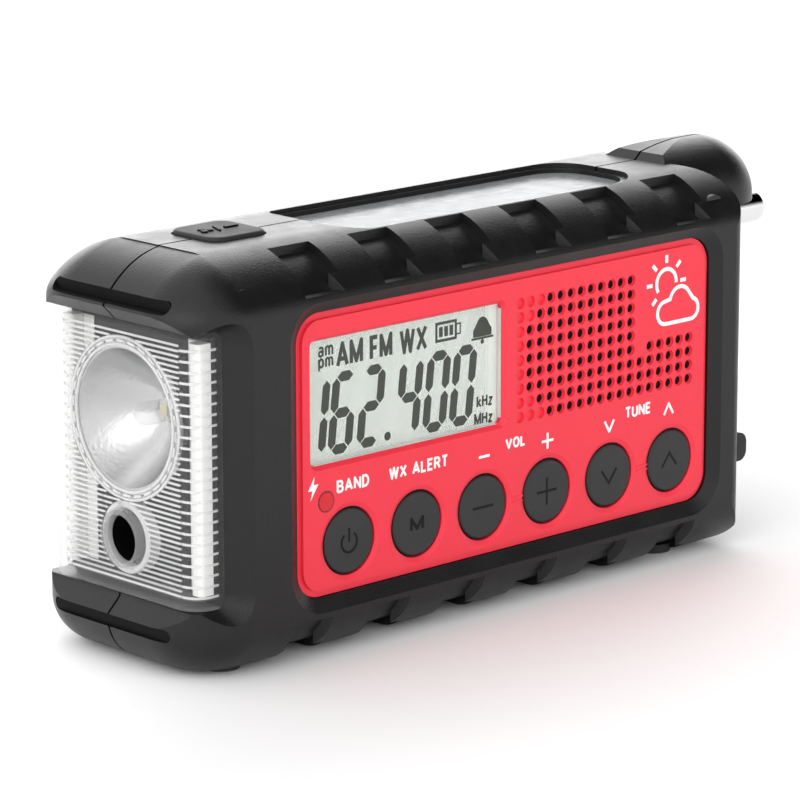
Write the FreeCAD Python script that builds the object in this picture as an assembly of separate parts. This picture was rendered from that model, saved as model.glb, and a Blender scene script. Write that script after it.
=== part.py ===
"""Emergency radio with torch, solar cells, hand crank and telescopic antenna.

Frame: millimetres, +X along the front from the torch end to the antenna end,
+Y from the front panel to the crank side, +Z up. The shapes are laid out from
the middle of the casing, and each finished part is then moved so that the
origin lies on the base plane, below the middle of the overall length.
"""
import FreeCAD, Part

import math
import os

Vector = FreeCAD.Vector
X_AXIS = Vector(1, 0, 0)
Y_AXIS = Vector(0, 1, 0)
Z_AXIS = Vector(0, 0, 1)

# Casing
CASE_LEFT = -82.4           # end face of the bumpers
CASE_RIGHT = 84.0
CASE_HALF_DEPTH = 28.5
CASE_BOTTOM = -1.0
CASE_TOP = 86.1
SHOULDER_RADIUS = 21.4      # broad roll from the top to the front and back
SHOULDER_BLEND = 6.0
CROWN_HALF_WIDTH = 9.9      # flat strip along the middle of the top
KEEL_RADIUS = 10.0          # smaller roll from the front and back to the base
END_RADIUS = 6.0            # antenna end, seen from the front
PLAN_RADII = (15.5, 4)      # torch end and antenna end, seen from above
SEAM_DEPTH = 1.0
SEAM_HALF_GAP = 0.3
CAVITY_HALF_DEPTH = 24.3
CAVITY_BOTTOM = 6.2
CAVITY_TOP = 81.6
CAVITY_LEFT = -69.0
CAVITY_RIGHT = 80.8

# Antenna and the nose that shields its tip
ANTENNA_HEIGHT = 69.9
ANTENNA_RADII = (3.5, 2.95, 2.45, 1.95)
ANTENNA_WALL = 0.4
ANTENNA_ROD_RADIUS = 1.45
ANTENNA_START = 12.0
ANTENNA_END = 105.0
TIP_RADIUS = 3.75
TIP_END = 118.0
TIP_LENGTH = 12.0
NOSE_TIP = 110.3
NOSE_TOP = 89.6
NOSE_BOTTOM = 74.6
NOSE_HALF_WIDTH = 14.0
NOSE_ROOT = 60.0
NOSE_RISE = 75.5            # where the bill starts to lift off the top
NOSE_CREST = 93.0
NOSE_EDGE_RADIUS = 13.9     # its long edges, seen from the end
TIP_BORE = TIP_RADIUS + 0.35

# Recesses along the four long edges
PAD_COUNT = 6
PAD_PITCH = 22.45
PAD_FIRST = (-50.9, -55.9)   # left end of the first recess, top edge and base edge
PAD_WIDTH = 11.6
PAD_DEPTH = 1.9
PAD_REACH = 15.6            # nearest the recesses come to the seam
PAD_LOW_TOP = 7.4
PAD_HIGH_BOTTOM = 76.6
PAD_FLANK = 2.6             # run of the sloping flank at each recess's right end

# Torch end
LENS_LEFT = -79.0
LENS_BACK = -70.9
LENS_HALF_DEPTH = 24.2
LENS_BOTTOM = 13.6
LENS_TOP = 72.4
LENS_CORNER = 6.0
LENS_WALL = 1.7
LENS_GAP = 0.15
TORCH_HEIGHT = 50.8
TORCH_RADIUS = 15.7
TORCH_DEPTH = 13.0
TORCH_MOUTH = -76.8
TORCH_RIM = 1.7
SOUNDER_HEIGHT = 25.2
SOUNDER_RADIUS = 6.2
SOUNDER_BACK = -63.0
SLOT_HALF_WIDTH = 18.6
SLOT_LOW = (6.9, 9.7, 1.6)   # height range and depth of the floor
SLOT_HIGH = (76.0, 78.7, 3.4)

# Front panel
PANEL_X = (-53.0, 72.8)
PANEL_Z = (11.7, 72.8)
PANEL_RADIUS = 6.3
PANEL_FACE = -27.0
PANEL_BACK = -25.0
PANEL_RIM = 1.4
PANEL_CLEARANCE = 0.15
BEZEL_SLOPE = 3.2
LEDGE = 2.5
WINDOW_X = (-48.7, 7.3)
WINDOW_Z = (40.0, 66.8)
WINDOW_THICKNESS = 0.6
HOLE_PITCH = 3.175
HOLE_RADIUS = 0.95
HOLE_RIM = (1.25, 0.5)      # radius and depth of the step round each speaker hole
BLIND_DEPTH = 0.6
GRILLE_THICKNESS = 0.95
BLIND_BY_ROW = (3, 2, 1, 1, 1, 1, 1, 2, 3)  # first holes of each row that stop short
GRID_CENTRE = (39.3, 53.3)
GRID_COLUMNS = 18
GRID_ROWS = 9
BADGE_COLUMN = 13           # from here the top rows give way to the pictogram
BADGE_ROWS = 5
KEY_NAMES = ("power_key", "memory_key", "volume_down_key", "volume_up_key",
             "tune_down_key", "tune_up_key")
KEY_FIRST = -38.3
KEY_PITCH = 19.8
KEY_HEIGHT = 22.4
KEY_RADIUS = 7.0
KEY_HOLE_RADIUS = 7.5
KEY_FACE = -26.7
KEY_FLANGE = 1.1
LAMP = (-45.1, 32.2)
LAMP_RADIUS = 2.0

# Boards, speaker
MAT_FRONT = -22.8
BOARD_FRONT = -21.4
BOARD_BACK = -19.8
SPEAKER_FRONT = -24.2
SPEAKER_RADIUS = 20.0
BASKET_DEPTH = 9.0
MAGNET_RADIUS = 11.0

# Solar cells on top
SOLAR_X = (-26.0, 62.5)
SOLAR_Y = (-14.0, 10.8)
SOLAR_LIP = 1.2
SOLAR_FACE = CASE_TOP - 2.0
SOLAR_COVER = 0.8
SOLAR_FLOOR = CASE_TOP - 3.6
SOLAR_RADII = (8.0, 9.0, 9.0, 3.0)

# Torch button on top
BUTTON_X = (-57.6, -41.8)
BUTTON_Y = (-6.9, 8.7)
BUTTON_RADIUS = 3.5
BUTTON_GAP = 0.4
BUTTON_PROUD = 0.9
BUTTON_SEAT = CASE_TOP - 2.0
SWITCH_BOARD = (75.6, 76.6)

# Crank on the back
CRANK = (36.0, 44.0)        # X and Z of the crank shaft
SHAFT_RADIUS = 3.0
SHAFT_END = 26.0
DISH_RADIUS = 33.5
DISH_FLOOR = 19.3
ARM_REACH = 26.5
KNOB_AXIS_Y = 24.2
KNOB_RADIUS = 4.3
KNOB_LENGTH = 11.7
PIN_RADIUS = 1.5
RAIL_INSIDE = 5.4           # the two rails of the arm, each side of its middle
RAIL_OUTSIDE = 8.2
RUNNING_GAP = 0.05
MODULE = 0.75
DRIVE_TEETH = 48
IDLER_TEETH = 42
PINION_TEETH = 12
IDLER_ANGLE = -50.0
DYNAMO_ANGLE = 25.0
DRIVE_PLANE = (14.2, 16.6)
IDLER_PLANE = (11.2, 13.6)
GEARBOX_PLATE = (8.6, 9.8)
DYNAMO_RADIUS = 11.0
DYNAMO_Y = (-7.5, 8.0)

# Batteries
DOOR_X = (-61.0, -3.5)
DOOR_Z = (9.0, 55.5)
DOOR_THICKNESS = 2.2
DOOR_GAP = 0.25
CELL_RADIUS = 7.2
CELL_LENGTH = 50.0
CELL_ROWS = 3
TRAY_X = (-57.5, -6.5)
TRAY_BOTTOM = 11.0
PACK_RADIUS = 9.0
PACK_CENTRE = (8.0, 66.1)   # Y and Z

# Port cover on the antenna end
COVER_Y = (-24.6, -4.0)
COVER_Z = (13.0, 50.0)
COVER_HINGE = (84.0, -2.6)
COVER_PIVOT_RADIUS = 1.4
SOCKET_Y = -14.0
SOCKET_BACK = 73.9

# Screws, feet and the ferrite antenna
SCREW_PLACES = ((-66.0, 77.0), (76.5, 78.0), (-66.0, 11.0), (11.2, 11.6), (62.0, 10.4))
SCREW_SHANK = 1.25
SCREW_SEAT = CAVITY_HALF_DEPTH - 1.3
BOSS_RADIUS = 3.2
FOOT_PLACES = ((-66.0, -17.0), (66.0, -17.0), (-66.0, 17.0), (66.0, 17.0))
FOOT_RADIUS = 4.0
FOOT_POCKET = 1.5
FOOT_BASE = CASE_BOTTOM - 0.5
FERRITE_PLACE = (-13.5, 76.9)
FERRITE_RADIUS = 3.8

ORIGIN_X = (CASE_LEFT + TIP_END) / 2
FAR = 150.0                 # beyond every face of the radio


def box(x, y, z):
    """Axis-aligned block from three (low, high) pairs."""
    return Part.makeBox(x[1] - x[0], y[1] - y[0], z[1] - z[0], Vector(x[0], y[0], z[0]))


def rod(radius, start, end):
    """Cylinder between two points."""
    a, b = Vector(*start), Vector(*end)
    return Part.makeCylinder(radius, (b - a).Length, a, b - a)


def tube(outer, inner, start, end):
    return rod(outer, start, end).cut(rod(inner, start, end))


def fuse(shapes):
    shapes = list(shapes)
    return shapes[0].multiFuse(shapes[1:]).removeSplitter()


def cut(shape, tools):
    return shape.cut(list(tools))


def wire(parts):
    """Closed wire: a pair of points is a line, three points are an arc."""
    edges = []
    for points in parts:
        if len(points) == 2:
            edges.append(Part.LineSegment(*points).toShape())
        else:
            edges.append(Part.Arc(*points).toShape())
    return Part.Wire(edges)


def rounded_loop(low, high, radii, place):
    """Rounded rectangle; radii run from the low corner, anticlockwise."""
    (u0, v0), (u1, v1) = low, high
    corners = [
        ((u0, v0), (1, 1), radii[0]),
        ((u1, v0), (-1, 1), radii[1]),
        ((u1, v1), (-1, -1), radii[2]),
        ((u0, v1), (1, -1), radii[3]),
    ]
    bend = 1 - math.sqrt(0.5)
    arcs = []
    for index, ((u, v), (du, dv), r) in enumerate(corners):
        along_v = (u, v + dv * r)
        along_u = (u + du * r, v)
        middle = (u + du * r * bend, v + dv * r * bend)
        ends = (along_v, along_u) if index % 2 == 0 else (along_u, along_v)
        arcs.append([place(*ends[0]), place(*middle), place(*ends[1])])
    parts = []
    for index, arc in enumerate(arcs):
        parts.append(arc)
        start = arcs[(index + 1) % 4][0]
        if (start - arc[2]).Length > 1e-6:
            parts.append([arc[2], start])
    return wire(parts)


def plate_xz(x, z, y, radius):
    """Rounded plate lying in XZ, thick along Y."""
    loop = rounded_loop((x[0], z[0]), (x[1], z[1]), (radius,) * 4,
                        lambda u, v: Vector(u, y[0], v))
    return Part.Face(loop).extrude(Vector(0, y[1] - y[0], 0))


def plate_xy(x, y, z, radii):
    """Rounded plate lying in XY, thick along Z."""
    loop = rounded_loop((x[0], y[0]), (x[1], y[1]), radii,
                        lambda u, v: Vector(u, v, z[0]))
    return Part.Face(loop).extrude(Vector(0, 0, z[1] - z[0]))


def plate_yz(y, z, x, radius):
    """Rounded plate lying in YZ, thick along X."""
    loop = rounded_loop((y[0], z[0]), (y[1], z[1]), (radius,) * 4,
                        lambda u, v: Vector(x[0], u, v))
    return Part.Face(loop).extrude(Vector(x[1] - x[0], 0, 0))


def cross_section(inset):
    """Casing seen along X: rolled shoulders, flat base, small keel corners."""
    half = CASE_HALF_DEPTH - inset
    shoulder = SHOULDER_RADIUS - inset
    keel = KEEL_RADIUS - inset
    flat = CROWN_HALF_WIDTH
    centre_z = CASE_TOP - SHOULDER_RADIUS
    keel_y = CASE_HALF_DEPTH - KEEL_RADIUS
    keel_z = CASE_BOTTOM + KEEL_RADIUS
    end = math.asin((half - flat) / shoulder)

    def at_shoulder(side, angle):
        return Vector(0, side * (flat + shoulder * math.sin(angle)),
                      centre_z + shoulder * math.cos(angle))

    def at_keel(side, angle):
        return Vector(0, side * (keel_y + keel * math.sin(angle)),
                      keel_z - keel * math.cos(angle))

    quarter = math.pi / 2
    return wire([
        [at_keel(-1, quarter), at_shoulder(-1, end)],
        [at_shoulder(-1, end), at_shoulder(-1, end / 2), at_shoulder(-1, 0)],
        [at_shoulder(-1, 0), at_shoulder(1, 0)],
        [at_shoulder(1, 0), at_shoulder(1, end / 2), at_shoulder(1, end)],
        [at_shoulder(1, end), at_keel(1, quarter)],
        [at_keel(1, quarter), at_keel(1, quarter / 2), at_keel(1, 0)],
        [at_keel(1, 0), at_keel(-1, 0)],
        [at_keel(-1, 0), at_keel(-1, quarter / 2), at_keel(-1, quarter)],
    ])


def full_length(outline):
    """A YZ outline drawn out along X, past both ends of the radio."""
    face = Part.Face(outline)
    face.translate(Vector(-FAR, 0, 0))
    return face.extrude(Vector(2 * FAR, 0, 0))


def long_prism(inset):
    """The cross-section drawn out along X, its two sharp shoulders blended."""
    prism = full_length(cross_section(inset))
    ridge = CASE_HALF_DEPTH - inset
    edges = []
    for edge in prism.Edges:
        middle = edge.CenterOfMass
        lengthwise = abs(edge.Length - 2 * FAR) < 0.01
        if lengthwise and abs(abs(middle.y) - ridge) < 0.01 and middle.z > CASE_TOP / 2:
            edges.append(edge)
    return prism.makeFillet(SHOULDER_BLEND - inset, edges)


def torch_end(inset):
    """Half of the section turned round both corners and carried across the end."""
    turn_x = CASE_LEFT + PLAN_RADII[0]
    turn_y = CASE_HALF_DEPTH - PLAN_RADII[0]
    axis = Vector(turn_x, -turn_y, 0)
    slab = long_prism(inset).common(box((turn_x, turn_x + 1), (-FAR, -turn_y), (-FAR, FAR)))
    section = [face for face in slab.Faces if abs(face.CenterOfMass.x - turn_x) < 1e-6][0]
    corner = section.revolve(axis, Z_AXIS, -90)
    section.rotate(axis, Z_AXIS, -90)
    middle = section.extrude(Vector(0, 2 * turn_y, 0))
    return [corner, middle, corner.mirror(Vector(0, 0, 0), Y_AXIS)]


def front_outline(inset):
    """Limits seen from the front: rounded antenna end, lens step between the bumpers."""
    left, right = CASE_LEFT - 5, CASE_RIGHT - inset
    low, high = CASE_BOTTOM + inset, CASE_TOP - inset
    step = LENS_LEFT - 0.1 + inset
    c = END_RADIUS - inset
    bend = 1 - math.sqrt(0.5)

    def at(x, z):
        return Vector(x, -FAR, z)

    high_shelf, low_shelf = LENS_TOP, LENS_BOTTOM - 0.6
    rise = step - left - inset
    loop = wire([
        [at(left, low), at(right - c, low)],
        [at(right - c, low), at(right - c * bend, low + c * bend), at(right, low + c)],
        [at(right, low + c), at(right, high - c)],
        [at(right, high - c), at(right - c * bend, high - c * bend), at(right - c, high)],
        [at(right - c, high), at(left, high)],
        [at(left, high), at(left, high_shelf + rise)],
        [at(left, high_shelf + rise), at(step, high_shelf)],
        [at(step, high_shelf), at(step, low_shelf)],
        [at(step, low_shelf), at(left, low_shelf - rise)],
        [at(left, low_shelf - rise), at(left, low)],
    ])
    return Part.Face(loop).extrude(Vector(0, 2 * FAR, 0))


def top_outline(inset):
    """Limits seen from above: tight corners at the antenna end."""
    half = CASE_HALF_DEPTH - inset + 0.001
    tight = PLAN_RADII[1] - inset
    return plate_xy((-FAR, CASE_RIGHT - inset), (-half, half), (-FAR, FAR),
                    (1, tight, tight, 1))


def nose(inset):
    """Round-ended bill that reaches out over the antenna's tip."""
    tip, top, low = NOSE_TIP - inset, NOSE_TOP - inset, NOSE_BOTTOM + inset
    root, rise, crest = NOSE_ROOT, NOSE_RISE, NOSE_CREST
    half, edge = NOSE_HALF_WIDTH - inset, NOSE_EDGE_RADIUS - inset

    def at(x, z):
        return Vector(x, -FAR, z)

    side = wire([
        [at(root, low), at(root, CASE_TOP - 6)],
        [at(root, CASE_TOP - 6), at(rise, CASE_TOP - 1 - inset)],
        [at(rise, CASE_TOP - 1 - inset), at(rise + 3, CASE_TOP + 1.7 - inset)],
        [at(rise + 3, CASE_TOP + 1.7 - inset), at(rise + 9, top - 0.6), at(crest, top)],
        [at(crest, top), at(tip + 1, top)],
        [at(tip + 1, top), at(tip + 1, low + 4.5)],
        [at(tip + 1, low + 4.5), at(tip - 0.8, low + 1.3), at(tip - 3.5, low)],
        [at(tip - 3.5, low), at(root, low)],
    ])
    profile = Part.Face(side).extrude(Vector(0, 2 * FAR, 0))
    turn = tip - half
    straight = plate_yz((-half, half), (40, top), (root - 10, turn), edge)
    section = [face for face in straight.common(box((0, FAR), (-FAR, 0), (-FAR, FAR))).Faces
               if abs(face.CenterOfMass.x - turn) < 1e-6][0]
    end = section.revolve(Vector(turn, 0, 0), Z_AXIS, 180)
    return profile.common(straight.fuse(end).removeSplitter())


def envelope(inset):
    """Outer skin of the closed casing, moved inwards by inset."""
    along = box((CASE_LEFT + PLAN_RADII[0], FAR), (-FAR, FAR), (-FAR, FAR))
    body = fuse([long_prism(inset).common(along)] + torch_end(inset))
    body = body.common(front_outline(inset)).common(top_outline(inset))
    return body.fuse(nose(inset))


def pad_tools():
    """Blocks that lower the skin in six places along each long edge."""
    lowered = full_length(cross_section(PAD_DEPTH))
    tools = []
    for first, z in zip(PAD_FIRST, ((PAD_HIGH_BOTTOM, FAR), (-FAR, PAD_LOW_TOP))):
        for index in range(PAD_COUNT):
            left = first + index * PAD_PITCH
            right = left + PAD_WIDTH
            for side in (-1, 1):
                y = sorted((side * PAD_REACH, side * FAR))
                tools.append(cut(box((left, right), y, z), [lowered, flank(right, z, side)]))
    return tools


def flank(right, z, side):
    """Sloping wedge left standing at the right end of a recess."""
    outer_y = side * (CASE_HALF_DEPTH + 0.2)
    inner_y = side * (CASE_HALF_DEPTH - PAD_DEPTH - 2.0)
    end = right + 0.1
    points = [Vector(right - PAD_FLANK, inner_y, z[0]), Vector(end, inner_y, z[0]),
              Vector(end, outer_y, z[0])]
    loop = Part.makePolygon(points + [points[0]])
    return Part.Face(loop).extrude(Vector(0, 0, z[1] - z[0]))


def scoop(side):
    """Tapered frame cut that leads from the bezel down to the lens edge."""
    def loop(y, x_right, z, radius):
        return rounded_loop((-FAR, z[0]), (x_right, z[1]), (1, radius, radius, 1),
                            lambda u, v: Vector(u, y, v))
    edge = side * LENS_HALF_DEPTH
    skin = side * (CASE_HALF_DEPTH + 0.2)
    flare = (4.9, 4.0, 2.8)     # growth towards +X, down and up
    inner = loop(edge, LENS_BACK, (LENS_BOTTOM, LENS_TOP), 3.0)
    outer = loop(skin, LENS_BACK + flare[0], (LENS_BOTTOM - flare[1], LENS_TOP + flare[2]), 7.0)
    return Part.makeLoft([inner, outer], True, True)


def lens_pocket():
    return box((-FAR, LENS_BACK), (-LENS_HALF_DEPTH, LENS_HALF_DEPTH), (LENS_BOTTOM, LENS_TOP))


def cavity():
    block = plate_yz((-CAVITY_HALF_DEPTH, CAVITY_HALF_DEPTH), (CAVITY_BOTTOM, CAVITY_TOP),
                     (CAVITY_LEFT, CAVITY_RIGHT), 8.0)
    half, margin = 19.0, 4.0
    opening = box((LENS_BACK - 1, CAVITY_LEFT + 1), (-half, half),
                  (LENS_BOTTOM + margin, LENS_TOP - margin))
    return block.fuse(opening)


def end_slots():
    """Dark grip slot across each bumper's end face."""
    tools = []
    for low, high, depth in (SLOT_LOW, SLOT_HIGH):
        tools.append(plate_yz((-SLOT_HALF_WIDTH, SLOT_HALF_WIDTH), (low, high),
                              (CASE_LEFT - 5, CASE_LEFT + depth), (high - low) / 2 - 0.05))
    return tools


def solar_recess():
    x, y, lip = SOLAR_X, SOLAR_Y, SOLAR_LIP
    wide = plate_xy((x[0] - lip, x[1] + lip), (y[0] - lip, y[1] + lip),
                    (CASE_TOP - 1.0, FAR), SOLAR_RADII)
    deep = plate_xy(x, y, (SOLAR_FLOOR, FAR), SOLAR_RADII)
    return [wide, deep]


def button_recess():
    x, y, gap = BUTTON_X, BUTTON_Y, BUTTON_GAP
    grown = ((x[0] - gap, x[1] + gap), (y[0] - gap, y[1] + gap))
    well = plate_xy(grown[0], grown[1], (BUTTON_SEAT - 1.2, FAR), (BUTTON_RADIUS + gap,) * 4)
    middle = ((x[0] + x[1]) / 2, (y[0] + y[1]) / 2)
    shaft = rod(3.4, (*middle, CAVITY_TOP - 1), (*middle, CASE_TOP))
    return [well, shaft]


def panel_opening():
    """Sloping bezel, seat and through window for the red panel."""
    c = PANEL_CLEARANCE
    seat_x = (PANEL_X[0] - c, PANEL_X[1] + c)
    seat_z = (PANEL_Z[0] - c, PANEL_Z[1] + c)

    def loop(grow, y):
        return rounded_loop((seat_x[0] - grow, seat_z[0] - grow),
                            (seat_x[1] + grow, seat_z[1] + grow),
                            (PANEL_RADIUS + grow,) * 4, lambda u, v: Vector(u, y, v))
    slope = Part.makeLoft([loop(0, PANEL_FACE + 0.2), loop(BEZEL_SLOPE, -CASE_HALF_DEPTH - 0.15)],
                          True, True)
    seat = plate_xz(seat_x, seat_z, (-FAR, PANEL_BACK), PANEL_RADIUS)
    through = plate_xz((PANEL_X[0] + LEDGE, PANEL_X[1] - LEDGE),
                       (PANEL_Z[0] + LEDGE, PANEL_Z[1] - LEDGE), (-FAR, MAT_FRONT), 1.4)
    return [slope, seat, through]


def dish():
    x, z = CRANK
    return rod(DISH_RADIUS, (x, DISH_FLOOR, z), (x, FAR, z))


def dish_boss():
    x, z = CRANK
    return rod(DISH_RADIUS + 2.0, (x, DISH_FLOOR - 2.0, z), (x, CAVITY_HALF_DEPTH + 1, z))


def gear_positions():
    x, z = CRANK
    first = MODULE * (DRIVE_TEETH + PINION_TEETH) / 2
    second = MODULE * (IDLER_TEETH + PINION_TEETH) / 2
    a, b = math.radians(IDLER_ANGLE), math.radians(DYNAMO_ANGLE)
    idler = (x + first * math.cos(a), z + first * math.sin(a))
    dynamo = (idler[0] + second * math.cos(b), idler[1] + second * math.sin(b))
    return idler, dynamo


def antenna_tunnel():
    return rod(TIP_BORE, (CAVITY_RIGHT - 1, 0, ANTENNA_HEIGHT), (FAR, 0, ANTENNA_HEIGHT))


def cover_recess():
    """Shallow seat and port window in the antenna end of the front shell."""
    hinge_x, hinge_y = COVER_HINGE
    gap = 0.3
    low, high = COVER_Z[0] - gap, COVER_Z[1] + gap
    seat = box((CASE_RIGHT - 1.6, FAR), (COVER_Y[0] - 5, hinge_y), (low, high))
    window = plate_yz((COVER_Y[0] + 4, COVER_Y[1] - 2), (COVER_Z[0] + 1.8, COVER_Z[1] - 2.5),
                      (CAVITY_RIGHT - 1, CASE_RIGHT), 1.5)
    knuckle = rod(COVER_PIVOT_RADIUS + gap, (hinge_x, hinge_y, low), (hinge_x, hinge_y, high))
    return [seat, window, knuckle]


def door_recess():
    x, z, gap, ledge = DOOR_X, DOOR_Z, DOOR_GAP, 2.0
    seat = plate_xz((x[0] - gap, x[1] + gap), (z[0] - gap, z[1] + gap),
                    (CASE_HALF_DEPTH - DOOR_THICKNESS, FAR), 3.0)
    through = plate_xz((x[0] + ledge, x[1] - ledge), (z[0] + ledge, z[1] - ledge),
                       (SCREW_SEAT - 3, FAR), 2.0)
    return [seat, through]


def foot_pockets():
    return [rod(FOOT_RADIUS + RUNNING_GAP, (x, y, FOOT_BASE - 1), (x, y, CASE_BOTTOM + FOOT_POCKET))
            for x, y in FOOT_PLACES]


def screw_boss(x, z, y):
    return rod(BOSS_RADIUS, (x, y[0], z), (x, y[1], z))


def housings():
    """Front and rear shells, which meet on the plane Y = 0."""
    skin = envelope(0)
    everywhere = (-FAR, FAR)
    groove = skin.common(box(everywhere, (-SEAM_HALF_GAP, SEAM_HALF_GAP), everywhere))
    groove = groove.cut(envelope(SEAM_DEPTH))
    shared = pad_tools() + end_slots() + solar_recess() + button_recess() + foot_pockets()
    shared += [groove, lens_pocket(), scoop(-1), scoop(1), cavity(), antenna_tunnel()]
    shell = cut(skin, shared)
    front = shell.common(box(everywhere, (-FAR, 0), everywhere))
    rear = shell.common(box(everywhere, (0, FAR), everywhere))
    boss_end, boss_gap = CAVITY_HALF_DEPTH + 0.5, 0.05

    front = cut(front, panel_opening() + cover_recess())
    bosses = [screw_boss(x, z, (-boss_end, -boss_gap)) for x, z in SCREW_PLACES]
    pilots = [rod(SCREW_SHANK, (x, -18, z), (x, 0, z)) for x, z in SCREW_PLACES]
    front = cut(fuse([front] + bosses), pilots)

    bosses = [screw_boss(x, z, (boss_gap, boss_end)) for x, z in SCREW_PLACES]
    rear = fuse([rear] + bosses + [dish_boss().common(skin)])
    x, z = CRANK
    tools = [dish(), rod(SHAFT_RADIUS + RUNNING_GAP, (x, 0, z), (x, FAR, z))] + door_recess()
    for sx, sz in SCREW_PLACES:
        tools.append(rod(SCREW_SHANK + 0.35, (sx, -1, sz), (sx, FAR, sz)))
        tools.append(rod(BOSS_RADIUS - 0.2, (sx, SCREW_SEAT, sz), (sx, FAR, sz)))
    rear = cut(rear, tools)
    return {"front_housing": front, "rear_housing": rear}


def hole_places():
    """Centre of each speaker hole and how deep it goes."""
    places = []
    for column in range(GRID_COLUMNS):
        for row in range(GRID_ROWS):
            badge = column >= BADGE_COLUMN and row < BADGE_ROWS
            step = column == BADGE_COLUMN - 1 and row < BADGE_ROWS + 1
            if not (badge or step):
                places.append((GRID_CENTRE[0] + (column - (GRID_COLUMNS - 1) / 2) * HOLE_PITCH,
                               GRID_CENTRE[1] + ((GRID_ROWS - 1) / 2 - row) * HOLE_PITCH,
                               BLIND_DEPTH if column < BLIND_BY_ROW[row] else FAR))
    return places


def key_centres():
    return [KEY_FIRST + index * KEY_PITCH for index in range(len(KEY_NAMES))]


def panel_hole(radius, x, z, depth=FAR):
    return rod(radius, (x, PANEL_FACE - 5, z), (x, min(PANEL_FACE + depth, PANEL_BACK + 5), z))


def grille_pockets():
    """Thinning behind the speaker holes, full rows and the shorter ones apart."""
    (x, z), pitch = GRID_CENTRE, HOLE_PITCH
    left = x - (GRID_COLUMNS - 1) / 2 * pitch
    low = z - (GRID_ROWS - 1) / 2 * pitch
    margin = HOLE_RADIUS + 0.25
    depth = (PANEL_FACE + GRILLE_THICKNESS, 0)
    tall = (low - margin, low + (GRID_ROWS - 1) * pitch + margin)
    short = (low - margin, low + (GRID_ROWS - BADGE_ROWS - 1) * pitch + margin)
    return [plate_xz((left + min(BLIND_BY_ROW) * pitch - margin,
                      left + (BADGE_COLUMN - 1) * pitch + margin), tall, depth, margin),
            plate_xz((left + pitch * BADGE_COLUMN - 2 * margin,
                      left + (GRID_COLUMNS - 1) * pitch + margin), short, depth, margin)]


def front_panel():
    base = plate_xz(PANEL_X, PANEL_Z, (PANEL_FACE + 0.8, PANEL_BACK), PANEL_RADIUS)
    rim = PANEL_RIM
    raised = plate_xz((PANEL_X[0] + rim, PANEL_X[1] - rim), (PANEL_Z[0] + rim, PANEL_Z[1] - rim),
                      (PANEL_FACE, PANEL_BACK), PANEL_RADIUS - rim)
    body = fuse([base, raised])

    def loop(grow, y):
        return rounded_loop((WINDOW_X[0] - grow, WINDOW_Z[0] - grow),
                            (WINDOW_X[1] + grow, WINDOW_Z[1] + grow),
                            (1.2 + grow,) * 4, lambda u, v: Vector(u, y, v))
    tools = [Part.makeLoft([loop(0, PANEL_FACE + 0.9), loop(0.9, PANEL_FACE - 0.1)], True, True)]
    through = (-FAR, 0)
    tools.append(plate_xz(WINDOW_X, WINDOW_Z, through, 1.2))
    for x in key_centres():
        z = KEY_HEIGHT
        tools.append(panel_hole(KEY_HOLE_RADIUS, x, z))
        tools.append(Part.makeCone(KEY_HOLE_RADIUS + 1.0, KEY_HOLE_RADIUS, 0.5,
                                   Vector(x, PANEL_FACE - 0.01, z), Y_AXIS))
    tools.append(panel_hole(LAMP_RADIUS + 0.05, *LAMP))
    for x, z, depth in hole_places():
        tools.append(panel_hole(HOLE_RADIUS, x, z, depth))
        tools.append(panel_hole(HOLE_RIM[0], x, z, HOLE_RIM[1]))
    return cut(body, tools + grille_pockets())


def display():
    window = plate_xz((WINDOW_X[0] - 0.8, WINDOW_X[1] + 1.8), (WINDOW_Z[0] - 1.8, WINDOW_Z[1] + 1.6),
                      (PANEL_BACK, PANEL_BACK + WINDOW_THICKNESS), 1.5)
    pane = plate_xz((WINDOW_X[0] + 0.1, WINDOW_X[1] - 0.1), (WINDOW_Z[0] + 0.1, WINDOW_Z[1] - 0.1),
                    (PANEL_FACE + 1.0, PANEL_BACK), 1.1)
    module = plate_xz((WINDOW_X[0] - 0.8, WINDOW_X[1] + 0.8), (WINDOW_Z[0] - 0.8, WINDOW_Z[1] + 0.8),
                      (PANEL_BACK + WINDOW_THICKNESS, BOARD_FRONT), 1.0)
    lamp = rod(LAMP_RADIUS, (LAMP[0], PANEL_FACE - 0.1, LAMP[1]), (LAMP[0], BOARD_FRONT, LAMP[1]))
    return {"lcd_window": fuse([window, pane]), "lcd_module": module, "charge_led": lamp}


def keys():
    """Shallow domed caps with a flange that keeps them behind the panel."""
    made = {}
    z = KEY_HEIGHT
    for name, x in zip(KEY_NAMES, key_centres()):
        cap = rod(KEY_RADIUS, (x, KEY_FACE, z), (x, PANEL_BACK + 0.05, z))
        rim = [e for e in cap.Edges if abs(e.CenterOfMass.y - KEY_FACE) < 0.01]
        cap = cap.makeFillet(0.5, rim)
        flange = rod(KEY_RADIUS + KEY_FLANGE, (x, PANEL_BACK + 0.05, z), (x, PANEL_BACK + 0.95, z))
        made[name] = fuse([cap, flange])
    return made


def keypad_mat():
    centres = key_centres()
    margin, base = 9.5, MAT_FRONT + 0.6
    mat = plate_xz((centres[0] - margin, centres[-1] + margin), (KEY_HEIGHT - 6.7, KEY_HEIGHT + 8.4),
                   (base, BOARD_FRONT), 2.0)
    domes = [Part.makeCone(4.5, 3.5, base - MAT_FRONT, Vector(x, base, KEY_HEIGHT), Vector(0, -1, 0))
             for x in centres]
    lamp = rod(LAMP_RADIUS + 0.2, (LAMP[0], -30, LAMP[1]), (LAMP[0], -10, LAMP[1]))
    return fuse([mat] + domes).cut(lamp)


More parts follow.
